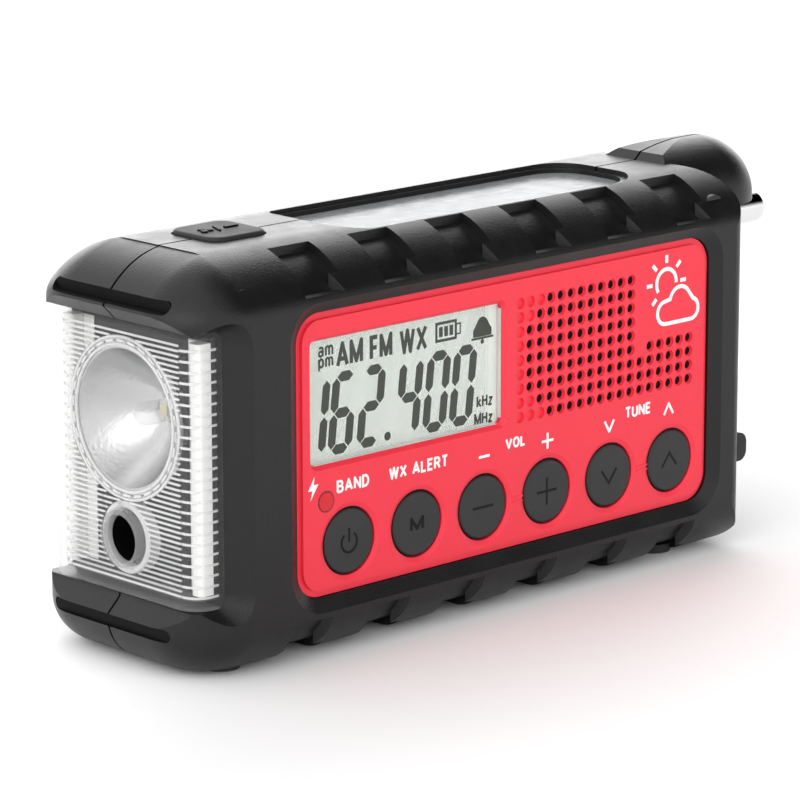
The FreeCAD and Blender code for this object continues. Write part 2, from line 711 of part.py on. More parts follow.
def main_board():
    """Board with its chips and a row of capacitors, cut away round the speaker."""
    x, z = GRID_CENTRE
    board = plate_xz((-60, 73.5), (17.5, 70.5), (BOARD_FRONT, BOARD_BACK), 1.5)
    board = board.cut(rod(SPEAKER_RADIUS + 0.6, (x, -30, z), (x, -10, z)))
    chips = [((-40, -31), (52, 61), 1.6), ((-12, -4), (46, 54), 1.4), ((-25, -19), (34, 46), 1.2),
             ((64, 71), (26, 33), 1.4), ((12, 17), (24, 27), 2.2)]
    parts = [board]
    for chip_x, chip_z, height in chips:
        parts.append(box(chip_x, (BOARD_BACK, BOARD_BACK + height), chip_z))
    first, pitch, height, radius, tall = -52, 5.5, 30, 2.2, 4.5
    for index in range(4):
        across = first + index * pitch
        parts.append(rod(radius, (across, BOARD_BACK, height), (across, BOARD_BACK + tall, height)))
    return fuse(parts)


def speaker():
    """Pressed basket with four windows, magnet with its pole, and paper cone."""
    x, z = GRID_CENTRE
    front, r = SPEAKER_FRONT, SPEAKER_RADIUS
    flange, wall = front + 1.2, 1.6

    def frustum(wide, narrow, start, depth):
        return Part.makeCone(wide, narrow, depth, Vector(x, start, z), Y_AXIS)

    def disc(radius, start, end):
        return rod(radius, (x, start, z), (x, end, z))

    ring = disc(r, front, flange).cut(disc(r - 2.6, front, flange))
    basket = frustum(r - 1.0, MAGNET_RADIUS + 0.6, flange, BASKET_DEPTH)
    basket = basket.cut(frustum(r - 1.0 - wall, MAGNET_RADIUS - 1.0, flange, BASKET_DEPTH))
    windows = []
    for index in range(4):
        angle = math.radians(45 + 90 * index)
        px, pz = x + 15 * math.cos(angle), z + 15 * math.sin(angle)
        windows.append(rod(3.2, (px, front + 3.5, pz), (px, front + 9.5, pz)))
    basket = fuse([ring, cut(basket, windows)])
    back = flange + BASKET_DEPTH
    magnet = disc(MAGNET_RADIUS, back, back + 7.3)
    pole = disc(4.4, back - 1.6, back)

    edge, roll, dome, paper = r - 2.7, r - 4.9, 5.6, 0.7
    surround = disc(edge, front + 0.5, front + 1.0).cut(disc(roll - paper, front + 0.5, front + 1.0))
    body = frustum(roll, dome, front + 1.0, 6.0).cut(frustum(roll - paper, dome - 0.6, front + 1.0, 6.0))
    cap = disc(dome, front + 6.4, front + 7.0)
    return {"speaker_basket": basket, "speaker_magnet": fuse([magnet, pole]),
            "speaker_cone": fuse([surround, body, cap])}


def lens_outline(inset, z):
    half = LENS_HALF_DEPTH - LENS_GAP - inset
    corner = LENS_CORNER - inset
    return plate_xy((LENS_LEFT + inset, LENS_BACK), (-half, half), z, (corner, 0.3, 0.3, corner))


def along_torch(radius, start, end):
    return rod(radius, (start, 0, TORCH_HEIGHT), (end, 0, TORCH_HEIGHT))


def along_sounder(radius, start, end):
    return rod(radius, (start, 0, SOUNDER_HEIGHT), (end, 0, SOUNDER_HEIGHT))


def torch():
    """Lens, frame, reflector, lamp and the white light bars at the corners."""
    low, high = LENS_BOTTOM + LENS_GAP, LENS_TOP - LENS_GAP
    room = (low + LENS_WALL, high - LENS_WALL)
    room_half = 22.2
    hollow = lens_outline(LENS_WALL, room)
    hollow = hollow.fuse(box((LENS_BACK - 2, LENS_BACK + 1), (-room_half, room_half), room))
    lens = cut(lens_outline(0, (low, high)),
               [hollow, along_sounder(SOUNDER_RADIUS, LENS_LEFT - 2, LENS_BACK)])

    frame_front = LENS_BACK - 1.2
    frame = box((frame_front, LENS_BACK), (0.2 - room_half, room_half - 0.2),
                (room[0] + 0.1, room[1] - 0.1))
    mouth, r = TORCH_MOUTH, TORCH_RADIUS
    back = mouth + TORCH_DEPTH
    bowl = bowl_of_revolution(mouth, r, TORCH_DEPTH, 0)
    inner = bowl_of_revolution(mouth, r - 0.9, TORCH_DEPTH - 0.8, -0.01)
    frame = cut(frame, [bowl, along_torch(r - 1.0, LENS_LEFT, CAVITY_LEFT),
                        along_sounder(SOUNDER_RADIUS + 0.1, LENS_LEFT, CAVITY_LEFT)])
    rim = along_torch(r + TORCH_RIM, mouth, mouth + 1.0).cut(along_torch(r - 0.5, mouth, mouth + 1.0))
    reflector = cut(bowl, [inner, along_torch(3.0, LENS_LEFT, back + 5)])
    reflector = reflector.fuse(rim.cut(inner)).removeSplitter()
    lamp = fuse([along_torch(8.0, back, back + 1.6), along_torch(2.6, back - 2.4, back)])
    made = {"torch_lens": lens, "torch_frame": frame, "torch_reflector": reflector, "torch_led": lamp}

    bar_front, bar_y, bar_margin = LENS_LEFT + 3.4, (18.6, 22.0), 2.6
    for name, side in (("side_diffuser_front", -1), ("side_diffuser_rear", 1)):
        bar = box((bar_front, frame_front - 0.05), sorted(side * y for y in bar_y),
                  (low + bar_margin, high - bar_margin))
        edges = [e for e in bar.Edges
                 if e.BoundBox.ZLength > 20 and abs(e.CenterOfMass.x - bar_front) < 0.01]
        made[name] = bar.makeFillet(1.2, edges)

    bore = SOUNDER_RADIUS - 1.0
    barrel = along_sounder(SOUNDER_RADIUS - 0.05, LENS_LEFT, SOUNDER_BACK)
    collar = along_sounder(SOUNDER_RADIUS + 1.4, LENS_BACK + 0.05, LENS_BACK + 1.2)
    made["sounder_tube"] = fuse([barrel, collar]).cut(along_sounder(bore, LENS_LEFT, SOUNDER_BACK))
    made["piezo_sounder"] = along_sounder(SOUNDER_RADIUS - 0.1, SOUNDER_BACK, SOUNDER_BACK + 2.5)
    return made


def bowl_of_revolution(mouth, radius, depth, shift):
    """Parabolic bowl about the torch axis, open towards -X."""
    z = TORCH_HEIGHT
    start = Vector(mouth + shift, 0, z)
    points = []
    spans = 6
    for step in range(spans + 1):
        t = step / spans
        points.append(Vector(mouth + shift + depth * t, 0, z + radius * math.sqrt(1 - 0.97 * t)))
    curve = Part.BSplineCurve()
    curve.interpolate(points)
    end = Vector(mouth + shift + depth, 0, z)
    loop = Part.Wire([Part.LineSegment(start, points[0]).toShape(), curve.toShape(),
                      Part.LineSegment(points[-1], end).toShape(),
                      Part.LineSegment(end, start).toShape()])
    return Part.Face(loop).revolve(start, X_AXIS, 360)


def torch_button():
    top = CASE_TOP + BUTTON_PROUD
    cap = plate_xy(BUTTON_X, BUTTON_Y, (BUTTON_SEAT, top), (BUTTON_RADIUS,) * 4)
    cap = cap.makeFillet(0.7, [e for e in cap.Edges if abs(e.CenterOfMass.z - top) < 0.01])
    x, y = (BUTTON_X[0] + BUTTON_X[1]) / 2, (BUTTON_Y[0] + BUTTON_Y[1]) / 2
    stem_end = CAVITY_TOP - 0.4
    stem = rod(3.0, (x, y, stem_end), (x, y, BUTTON_SEAT))
    board_top = SWITCH_BOARD[1]
    can_top = board_top + 2.6
    switch = fuse([box((x - 3.2, x + 3.2), (y - 3.2, y + 3.2), (board_top, can_top)),
                   rod(1.7, (x, y, can_top), (x, y, stem_end - 1.3)),
                   box((x - 8, x + 8), (y - 7, y + 7), SWITCH_BOARD)])
    return {"torch_button": fuse([cap, stem]), "torch_switch": switch}


def solar():
    gap = 0.15
    x = (SOLAR_X[0] + gap, SOLAR_X[1] - gap)
    y = (SOLAR_Y[0] + gap, SOLAR_Y[1] - gap)
    radii = [radius - 0.1 for radius in SOLAR_RADII]
    underside = SOLAR_FACE - SOLAR_COVER
    return {"solar_cells": plate_xy(x, y, (SOLAR_FLOOR, underside), radii),
            "solar_cover": plate_xy(x, y, (underside, SOLAR_FACE), radii)}


def gear(teeth, centre, plane, bore, phase):
    """Spur gear with slim straight-flanked teeth, so that a mesh keeps backlash."""
    x, z = centre
    pitch = MODULE * teeth / 2
    tip, root = pitch + 0.9 * MODULE, pitch - 1.2 * MODULE
    step = 2 * math.pi / teeth
    points = []
    for index in range(teeth):
        middle = phase + index * step
        for radius, share in ((root, -0.31), (tip, -0.12), (tip, 0.12), (root, 0.31)):
            angle = middle + share * step
            points.append(Vector(x + radius * math.cos(angle), plane[0],
                                 z + radius * math.sin(angle)))
    body = Part.Face(Part.makePolygon(points + [points[0]])).extrude(
        Vector(0, plane[1] - plane[0], 0))
    return body.cut(rod(bore, (x, plane[0] - 1, z), (x, plane[1] + 1, z)))


def drive_train():
    """Two-stage step-up gearing from the crank to the dynamo."""
    x, z = CRANK
    idler, dynamo = gear_positions()
    toward_idler = math.radians(IDLER_ANGLE)
    toward_dynamo = math.radians(DYNAMO_ANGLE)
    half_tooth = math.pi / PINION_TEETH
    idler_bore = PIN_RADIUS + RUNNING_GAP

    def at_idler(radius, start, end):
        return rod(radius, (idler[0], start, idler[1]), (idler[0], end, idler[1]))

    def at_dynamo(radius, start, end):
        return rod(radius, (dynamo[0], start, dynamo[1]), (dynamo[0], end, dynamo[1]))

    drive = gear(DRIVE_TEETH, CRANK, DRIVE_PLANE, SHAFT_RADIUS, toward_idler)
    pinion = gear(PINION_TEETH, idler, DRIVE_PLANE, idler_bore,
                  toward_idler + math.pi + half_tooth)
    wheel = gear(IDLER_TEETH, idler, IDLER_PLANE, idler_bore, toward_dynamo)
    collar = at_idler(3.0, IDLER_PLANE[1], DRIVE_PLANE[0]).cut(
        at_idler(idler_bore, IDLER_PLANE[1], DRIVE_PLANE[0]))
    last = gear(PINION_TEETH, dynamo, IDLER_PLANE, 0.5, toward_dynamo + math.pi + half_tooth)
    shaft = at_dynamo(0.9, 6.4, IDLER_PLANE[1])

    margin = 8.0
    plate = plate_xz((x - margin, dynamo[0] + margin), (14.5, 52.0), GEARBOX_PLATE, 3.0)
    plate = cut(plate, [rod(SHAFT_RADIUS + RUNNING_GAP, (x, 0, z), (x, 30, z)),
                        at_dynamo(1.2, 0, 30)])
    spindle = at_idler(PIN_RADIUS, GEARBOX_PLATE[1], DISH_FLOOR - 2.0)

    can = at_dynamo(DYNAMO_RADIUS, *DYNAMO_Y).cut(at_dynamo(1.0, 6.0, 9.0))
    nozzle = at_dynamo(4.0, DYNAMO_Y[1], GEARBOX_PLATE[0]).cut(
        at_dynamo(1.2, DYNAMO_Y[1], GEARBOX_PLATE[0]))
    return {"drive_gear": drive, "idler_gear": fuse([pinion, collar, wheel]),
            "idler_spindle": spindle, "gearbox_plate": plate, "dynamo": fuse([can, nozzle]),
            "dynamo_pinion": fuse([last, shaft])}


def crank():
    """Arm with two rails; the knob folds up out of them on a cross pin."""
    x, z = CRANK
    y = KNOB_AXIS_Y
    pin_x = x - ARM_REACH
    hub_y = (DISH_FLOOR + 0.5, 27.6)
    hub = rod(8.6, (x, hub_y[0], z), (x, hub_y[1], z))
    hub = hub.makeFillet(1.2, [e for e in hub.Edges if abs(e.CenterOfMass.y - hub_y[1]) < 0.01])
    rails = [box((pin_x - 2.6, x - 4), (20.6, 27.2), sorted((z + side * RAIL_INSIDE,
                                                             z + side * RAIL_OUTSIDE)))
             for side in (-1, 1)]
    arm = cut(fuse([hub] + rails), [
        rod(SHAFT_RADIUS, (x, 0, z), (x, SHAFT_END, z)),
        rod(PIN_RADIUS, (pin_x, y, z - 20), (pin_x, y, z + 20))])
    shaft = rod(SHAFT_RADIUS, (x, 7.0, z), (x, SHAFT_END, z))
    pin = rod(PIN_RADIUS, (pin_x, y, z - RAIL_OUTSIDE), (pin_x, y, z + RAIL_OUTSIDE))

    knuckle_half = RAIL_INSIDE - 0.5
    knob_start = pin_x + 4.2
    knob_end = knob_start + KNOB_LENGTH
    spindle_radius = 1.6
    post = fuse([
        rod(3.6, (pin_x, y, z - knuckle_half), (pin_x, y, z + knuckle_half)),
        rod(spindle_radius, (pin_x, y, z), (knob_end + 0.7, y, z)),
        rod(2.6, (knob_end + 0.1, y, z), (knob_end + 1.1, y, z))])
    post = post.cut(rod(PIN_RADIUS + 0.04, (pin_x, y, z - 9), (pin_x, y, z + 9)))
    knob = tube(KNOB_RADIUS, spindle_radius + 0.06, (knob_start, y, z), (knob_end, y, z))
    rims = [e for e in knob.Edges if abs(e.Length - 2 * math.pi * KNOB_RADIUS) < 0.01]
    return {"crank_arm": arm, "crank_shaft": shaft, "crank_knob_pin": pin,
            "crank_knob_post": post, "crank_knob": knob.makeFillet(0.9, rims)}


def antenna():
    """Four nested tubes and a rod that carries the tip."""
    z = ANTENNA_HEIGHT
    made = {}
    last = len(ANTENNA_RADII) - 1
    for index, radius in enumerate(ANTENNA_RADII):
        start = ANTENNA_START + 2.0 * index
        end = ANTENNA_END - 0.6 * (last - index)
        made["antenna_tube_%d" % (index + 1)] = tube(radius, radius - ANTENNA_WALL,
                                                     (start, 0, z), (end, 0, z))
    tip_start = TIP_END - TIP_LENGTH
    tip = rod(TIP_RADIUS, (tip_start, 0, z), (TIP_END, 0, z))
    tip = tip.makeFillet(0.8, [e for e in tip.Edges if abs(e.CenterOfMass.x - TIP_END) < 0.01])
    wand = rod(ANTENNA_ROD_RADIUS, (ANTENNA_START + 8, 0, z), (tip_start, 0, z))
    made["antenna_rod"] = fuse([wand, tip])
    half = 6.0
    block = box((ANTENNA_START - 4, ANTENNA_START + 6), (-half, half), (z - half, z + half))
    bore = rod(ANTENNA_RADII[0], (ANTENNA_START, 0, z), (ANTENNA_END, 0, z))
    made["antenna_clamp"] = block.cut(bore)
    return made


def batteries():
    """Two layers of cells in their tray, the lithium pack above, and the door."""
    left, right = TRAY_X
    low = TRAY_BOTTOM
    gap, nub = 0.3, 1.5
    rows = [low + CELL_RADIUS + gap + index * (2 * CELL_RADIUS + gap) for index in range(CELL_ROWS)]
    first_layer = 0.9
    cells = []
    for y in (first_layer, first_layer + 2 * CELL_RADIUS + 0.2):
        for z in rows:
            shoulder = left + CELL_LENGTH - nub
            cells.append(fuse([rod(CELL_RADIUS, (left, y, z), (shoulder, y, z)),
                               rod(2.7, (shoulder, y, z), (left + CELL_LENGTH, y, z))]))
    height = 44.8
    tray = box((left - 2.2, right + 1.6), (-7.6, 22.6), (low - 1.2, low + height + 1.2))
    tray = tray.cut(box((left - 1.0, right + 0.4), (-6.4, 30), (low, low + height)))
    contacts = []
    contact_y, half = (-5.0, 22.0), 4.5
    for z in rows:
        contacts.append(box((left - 0.9, left - 0.1), contact_y, (z - half, z + half)))
        contacts.append(box((left + CELL_LENGTH + 0.2, right + 0.3), contact_y, (z - half, z + half)))
    pack_y, pack_z = PACK_CENTRE
    pack = rod(PACK_RADIUS, (-62, pack_y, pack_z), (2, pack_y, pack_z))

    inner = CASE_HALF_DEPTH - DOOR_THICKNESS
    door = plate_xz(DOOR_X, DOOR_Z, (inner, CASE_HALF_DEPTH), 2.8)
    lip = plate_xz((DOOR_X[0] + 2.2, DOOR_X[1] - 2.2), (DOOR_Z[0] + 2.2, DOOR_Z[1] - 2.2),
                   (inner - 1.4, inner), 2.0)
    middle = (DOOR_X[0] + DOOR_X[1]) / 2
    grip = box((middle - 9, middle + 9), (CASE_HALF_DEPTH - 1.0, FAR), (DOOR_Z[1] - 9, DOOR_Z[1] - 6))
    return {"aa_cells": Part.makeCompound(cells), "battery_tray": tray,
            "battery_contacts": Part.makeCompound(contacts), "lithium_pack": pack,
            "battery_door": fuse([door, lip]).cut(grip)}


def socket(half_depth, z, wall, floor):
    """Open-ended metal socket on the port board."""
    y = SOCKET_Y
    shell = box((SOCKET_BACK, 82.0), (y - half_depth, y + half_depth), z)
    half_room = half_depth - wall
    return shell.cut(box((SOCKET_BACK + floor, FAR), (y - half_room, y + half_room),
                         (z[0] + wall, z[1] - wall)))


def ports():
    hinge_x, hinge_y = COVER_HINGE
    face = CASE_RIGHT + 0.2
    flap = plate_yz(COVER_Y, COVER_Z, (CASE_RIGHT - 1.4, face), 1.8)
    knuckle = rod(COVER_PIVOT_RADIUS, (hinge_x, hinge_y, COVER_Z[0]), (hinge_x, hinge_y, COVER_Z[1]))
    web = box((CASE_RIGHT - 0.9, face), (COVER_Y[1] - 2, hinge_y), COVER_Z)
    tab = plate_xz((CASE_RIGHT - 0.5, CASE_RIGHT + 5.2), (17.2, 23.9), (COVER_Y[0], COVER_Y[0] + 3.0),
                   2.4)
    board = box((SOCKET_BACK - 1.5, SOCKET_BACK), (-19.6, -8.2), (15.0, 48.0))

    y, z = SOCKET_Y, 18.0
    block_end = 80.7
    jack = fuse([box((SOCKET_BACK, block_end), (y - 2.8, y + 2.8), (z - 2.8, z + 2.8)),
                 rod(2.4, (block_end, y, z), (82.2, y, z))])
    jack = jack.cut(rod(1.75, (SOCKET_BACK + 1, y, z), (FAR, y, z)))
    return {"port_cover": fuse([flap, knuckle, web, tab]), "port_board": board,
            "usb_output_socket": socket(3.4, (31.0, 45.5), 0.9, 1.6),
            "usb_input_socket": socket(1.9, (21.6, 29.4), 0.7, 2.1), "headphone_jack": jack}


def small_parts():
    screws = []
    for x, z in SCREW_PLACES:
        head = rod(2.7, (x, SCREW_SEAT, z), (x, SCREW_SEAT + 1.8, z))
        shank = rod(SCREW_SHANK, (x, -12.0, z), (x, SCREW_SEAT, z))
        screws.append(fuse([head, shank]))
    feet = [rod(FOOT_RADIUS, (x, y, FOOT_BASE), (x, y, CASE_BOTTOM + FOOT_POCKET))
            for x, y in FOOT_PLACES]
    y, z = FERRITE_PLACE
    ferrite = rod(FERRITE_RADIUS, (12.0, y, z), (70.0, y, z))
    coil = tube(FERRITE_RADIUS + 0.5, FERRITE_RADIUS, (18.0, y, z), (38.0, y, z))
    return {"housing_screws": Part.makeCompound(screws), "rubber_feet": Part.makeCompound(feet),
            "ferrite_rod": ferrite, "ferrite_coil": coil}


def main():
    os.makedirs("parts", exist_ok=True)
    parts = housings()
    parts["front_panel"] = front_panel()
    parts["keypad_mat"] = keypad_mat()
    parts["main_board"] = main_board()
    for group in (display, keys, speaker, torch, torch_button, solar, drive_train, crank,
                  antenna, batteries, ports, small_parts):
        parts.update(group())
    for name, shape in sorted(parts.items()):
        shape.translate(Vector(-ORIGIN_X, 0, -FOOT_BASE))
        print("%-22s solids %d valid %s volume %.0f" %
              (name, len(shape.Solids), shape.isValid(), shape.Volume))
        shape.exportStep("parts/%s.step" % name)


main()
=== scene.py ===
import math

import bmesh
import bpy
from mathutils import Matrix, Vector


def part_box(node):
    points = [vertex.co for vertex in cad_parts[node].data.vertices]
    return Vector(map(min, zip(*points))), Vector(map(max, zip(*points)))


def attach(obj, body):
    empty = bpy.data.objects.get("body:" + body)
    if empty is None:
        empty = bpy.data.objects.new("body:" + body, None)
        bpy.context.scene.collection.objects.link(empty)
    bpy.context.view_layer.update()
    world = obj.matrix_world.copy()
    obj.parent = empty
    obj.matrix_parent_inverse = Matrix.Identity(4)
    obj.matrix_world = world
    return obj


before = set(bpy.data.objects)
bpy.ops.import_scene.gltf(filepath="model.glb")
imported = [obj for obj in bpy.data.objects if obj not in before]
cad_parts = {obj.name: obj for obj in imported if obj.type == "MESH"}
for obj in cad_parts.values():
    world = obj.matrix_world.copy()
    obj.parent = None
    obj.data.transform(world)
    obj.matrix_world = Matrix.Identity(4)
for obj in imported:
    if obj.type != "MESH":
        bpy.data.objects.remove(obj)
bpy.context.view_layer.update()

MM = 0.001

# The feet stand evenly about the middle of the casing, so their middle gives its X.
feet_low, feet_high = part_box("rubber_feet")
CASE_X = (feet_low.x + feet_high.x) / 2
# The front panel's lower edge is this many millimetres above the casing's base.
PANEL_BOTTOM = 11.7
CASE_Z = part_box("front_panel")[0].z - PANEL_BOTTOM * MM

CASING_BLACK = (0.008, 0.008, 0.0085)
KEY_BLACK = (0.028, 0.029, 0.029)
PANEL_RED = (0.83, 0.035, 0.062)
DISPLAY_GREY = (0.92, 0.97, 0.92)
# Painted glow on the display: faint emission that brightens its face in place of light.
PAINTED_GLOW_TINT = (0.88, 0.96, 0.88)
PAINTED_GLOW = 0.16
DISPLAY_INK = (0.055, 0.062, 0.052)


# ---------------------------------------------------------------- materials

def new_shader(name):
    material = bpy.data.materials.new(name)
    material.use_nodes = True
    tree = material.node_tree
    return material, tree, tree.nodes["Principled BSDF"]


def noise(tree, size, detail=2.0, roughness=0.5, stretch=(1, 1, 1)):
    """Noise texture in the part's own metres; size is the width of one lump."""
    coordinates = tree.nodes.new("ShaderNodeTexCoord")
    mapping = tree.nodes.new("ShaderNodeMapping")
    mapping.inputs["Scale"].default_value = stretch
    texture = tree.nodes.new("ShaderNodeTexNoise")
    texture.inputs["Scale"].default_value = 1.0 / size
    texture.inputs["Detail"].default_value = detail
    texture.inputs["Roughness"].default_value = roughness
    tree.links.new(coordinates.outputs["Object"], mapping.inputs["Vector"])
    tree.links.new(mapping.outputs["Vector"], texture.inputs["Vector"])
    return texture.outputs["Fac"]


def blend_colours(tree, factor, low, high):
    mix = tree.nodes.new("ShaderNodeMix")
    mix.data_type = "RGBA"
    mix.inputs[6].default_value = (*low, 1)
    mix.inputs[7].default_value = (*high, 1)
    tree.links.new(factor, mix.inputs[0])
    return mix.outputs[2]


def spread(tree, factor, low, high, start=0.3, end=0.7):
    """Maps a noise value to the range from low to high."""
    node = tree.nodes.new("ShaderNodeMapRange")
    node.inputs["From Min"].default_value = start
    node.inputs["From Max"].default_value = end
    node.inputs["To Min"].default_value = low
    node.inputs["To Max"].default_value = high
    tree.links.new(factor, node.inputs["Value"])
    return node.outputs["Result"]


def add_bump(tree, principled, height, depth, strength=1.0):
    bump = tree.nodes.new("ShaderNodeBump")
    bump.inputs["Distance"].default_value = depth
    bump.inputs["Strength"].default_value = strength
    tree.links.new(height, bump.inputs["Height"])
    tree.links.new(bump.outputs["Normal"], principled.inputs["Normal"])


def moulded(name, colour, roughness, grain, depth, specular=0.5, patch=0.12, coat=0.0):
    """Moulded plastic or rubber: fine grain, slight colour and gloss patches."""
    material, tree, principled = new_shader(name)
    cloud = noise(tree, 14 * MM, 3.0)
    dark = [c * (1 - patch) for c in colour]
    light = [min(1.0, c * (1 + patch)) for c in colour]
    tree.links.new(blend_colours(tree, cloud, dark, light), principled.inputs["Base Color"])
    tree.links.new(spread(tree, noise(tree, 5 * MM, 4.0), roughness - 0.04, roughness + 0.04),
                   principled.inputs["Roughness"])
    principled.inputs["Specular IOR Level"].default_value = specular
    principled.inputs["Coat Weight"].default_value = coat
    add_bump(tree, principled, noise(tree, grain, 2.0, 0.55), depth)
    return material


def metal(name, colour, roughness, brush=(1, 1, 1), depth=0.004 * MM):
    """Bare metal; its streaks run across the axis that brush is largest along."""
    material, tree, principled = new_shader(name)
    principled.inputs["Metallic"].default_value = 1.0
    streaks = noise(tree, 0.8 * MM, 3.0, stretch=brush)
    dark = [c * 0.88 for c in colour]
    tree.links.new(blend_colours(tree, streaks, dark, colour), principled.inputs["Base Color"])
    tree.links.new(spread(tree, streaks, roughness * 0.8, roughness * 1.3),
                   principled.inputs["Roughness"])
    add_bump(tree, principled, streaks, depth, 0.6)
    return material


CLEAR_EDGE_POWER = 6.0      # how sharply clear plastic turns solid towards a glancing angle


def clear(name, tint, body, least, roughness=0.05):
    """Clear plastic: mostly see-through face on, mirror-like at a glancing angle."""
    material, tree, principled = new_shader(name)
    principled.inputs["Base Color"].default_value = (*body, 1)
    tree.links.new(spread(tree, noise(tree, 3 * MM, 2.0), roughness * 0.7, roughness * 1.4),
                   principled.inputs["Roughness"])
    see_through = tree.nodes.new("ShaderNodeBsdfTransparent")
    see_through.inputs["Color"].default_value = (*tint, 1)
    edge = tree.nodes.new("ShaderNodeLayerWeight")
    edge.inputs["Blend"].default_value = 0.5
    steep = tree.nodes.new("ShaderNodeMath")
    steep.operation = "POWER"
    steep.inputs[1].default_value = CLEAR_EDGE_POWER
    tree.links.new(edge.outputs["Facing"], steep.inputs[0])
    factor = spread(tree, steep.outputs[0], least, 1.0, 0.0, 1.0)
    mix = tree.nodes.new("ShaderNodeMixShader")
    tree.links.new(factor, mix.inputs["Fac"])
    tree.links.new(see_through.outputs[0], mix.inputs[1])
    tree.links.new(principled.outputs[0], mix.inputs[2])
    tree.links.new(mix.outputs[0], tree.nodes["Material Output"].inputs["Surface"])
    return material


def circuit_board(name):
    """Green mask with paler copper tracks showing through it."""
    material, tree, principled = new_shader(name)
    tracks = noise(tree, 2.2 * MM, 1.0, stretch=(1, 1, 4))
    factor = spread(tree, tracks, 0.0, 1.0, 0.5, 0.53)
    colour = blend_colours(tree, factor, (0.01, 0.09, 0.04), (0.03, 0.19, 0.08))
    tree.links.new(colour, principled.inputs["Base Color"])
    principled.inputs["Roughness"].default_value = 0.35
    add_bump(tree, principled, factor, 0.03 * MM, 0.5)
    return material


def solar_cell(name):
    """Dark blue cells crossed by fine silver fingers and a few wide bus bars."""
    material, tree, principled = new_shader(name)
    coordinates = tree.nodes.new("ShaderNodeTexCoord")

    def bars(direction, pitch, share):
        wave = tree.nodes.new("ShaderNodeTexWave")
        wave.bands_direction = direction
        wave.inputs["Scale"].default_value = math.pi / (10 * pitch)
        tree.links.new(coordinates.outputs["Object"], wave.inputs["Vector"])
        return spread(tree, wave.outputs["Fac"], 0.0, 1.0, 1 - share, 1 - share / 2)

    fingers = bars("X", 1.6 * MM, 0.06)
    buses = bars("Y", 8.0 * MM, 0.015)
    most = tree.nodes.new("ShaderNodeMath")
    most.operation = "MAXIMUM"
    tree.links.new(fingers, most.inputs[0])
    tree.links.new(buses, most.inputs[1])
    colour = blend_colours(tree, most.outputs[0], (0.012, 0.02, 0.055), (0.45, 0.47, 0.5))
    tree.links.new(colour, principled.inputs["Base Color"])
    principled.inputs["Roughness"].default_value = 0.25
    return material


def glowing_display(name):
    """Pale display face with a faint painted glow: emission that brightens it, standing in for
    light lost through the window pane.
    """
    material = moulded(name, DISPLAY_GREY, 0.5, 0.1 * MM, 0.001 * MM, 0.3, 0.02)
    principled = material.node_tree.nodes["Principled BSDF"]
    principled.inputs["Emission Color"].default_value = (*PAINTED_GLOW_TINT, 1)
    principled.inputs["Emission Strength"].default_value = PAINTED_GLOW
    return material


black_plastic = moulded("black_plastic", CASING_BLACK, 0.34, 0.42 * MM, 0.080 * MM, 0.32)
red_plastic = moulded("red_plastic", PANEL_RED, 0.42, 0.30 * MM, 0.004 * MM, 0.30, 0.03)
key_rubber = moulded("key_rubber", KEY_BLACK, 0.55, 0.22 * MM, 0.006 * MM, 0.30)
rubber = moulded("rubber", (0.02, 0.02, 0.021), 0.6, 0.3 * MM, 0.01 * MM, 0.35)
# Near-black, low-gloss plastic: the own colour of the sounder, torch frame, button marks and
# speaker cloth, and painted shade in the end slots, the sounder's bore and the speaker holes.
deep_black_and_shade = moulded("deep_black_and_shade", (0.003, 0.003, 0.003), 0.5, 0.3 * MM, 0.004 * MM, 0.08)
legend_black = moulded("legend_black", (0.004, 0.004, 0.004), 0.6, 0.3 * MM, 0.002 * MM, 0.2)
white_print = moulded("white_print", (0.90, 0.90, 0.90), 0.5, 0.2 * MM, 0.002 * MM, 0.3, 0.02)
white_plastic = moulded("white_plastic", (0.88, 0.88, 0.87), 0.35, 0.4 * MM, 0.004 * MM,
                        patch=0.02)
display_glass = glowing_display("display_glass")
liner_pale = moulded("liner_pale", (0.66, 0.71, 0.66), 0.6, 0.2 * MM, 0.001 * MM, 0.2, 0.02)
display_ink = moulded("display_ink", DISPLAY_INK, 0.5, 0.1 * MM, 0.001 * MM, 0.3, 0.05)
lamp_red = moulded("lamp_red", (0.62, 0.006, 0.018), 0.30, 0.5 * MM, 0.002 * MM, 0.4, 0.05)
# Dark red for the lamp's ring of painted shade.
lamp_gap_shade = moulded("lamp_gap_shade", (0.16, 0.004, 0.008), 0.4, 0.3 * MM, 0.002 * MM)
frame_grey = moulded("frame_grey", (0.05, 0.05, 0.052), 0.5, 0.4 * MM, 0.01 * MM, 0.4)
clear_window = clear("clear_window", (1.0, 1.0, 1.0), (0.9, 0.9, 0.9), 0.0)
clear_lens = clear("clear_lens", (0.96, 0.96, 0.96), (0.92, 0.92, 0.92), 0.04)
clear_rib = clear("clear_rib", (0.90, 0.90, 0.90), (0.93, 0.93, 0.93), 0.60, 0.12)
clear_tube = clear("clear_tube", (0.93, 0.93, 0.93), (0.85, 0.85, 0.85), 0.14, 0.10)
milky_cover = clear("milky_cover", (0.70, 0.71, 0.73), (0.36, 0.37, 0.38), 0.38, 0.16)
cells_blue = solar_cell("cells_blue")
board_green = circuit_board("board_green")
steel = metal("steel", (0.60, 0.61, 0.62), 0.28)
aluminium = metal("aluminium", (0.72, 0.73, 0.74), 0.35, (1, 8, 1))
chrome = metal("chrome", (0.78, 0.78, 0.79), 0.20, (12, 1, 1), 0.0008 * MM)
mirror = metal("mirror", (0.62, 0.62, 0.62), 0.16, depth=0.10 * MM)
brass = metal("brass", (0.78, 0.58, 0.26), 0.3)
copper = metal("copper", (0.72, 0.34, 0.18), 0.35, (14, 1, 1))
nylon = moulded("nylon", (0.84, 0.83, 0.76), 0.4, 0.4 * MM, 0.004 * MM, 0.4, 0.03)
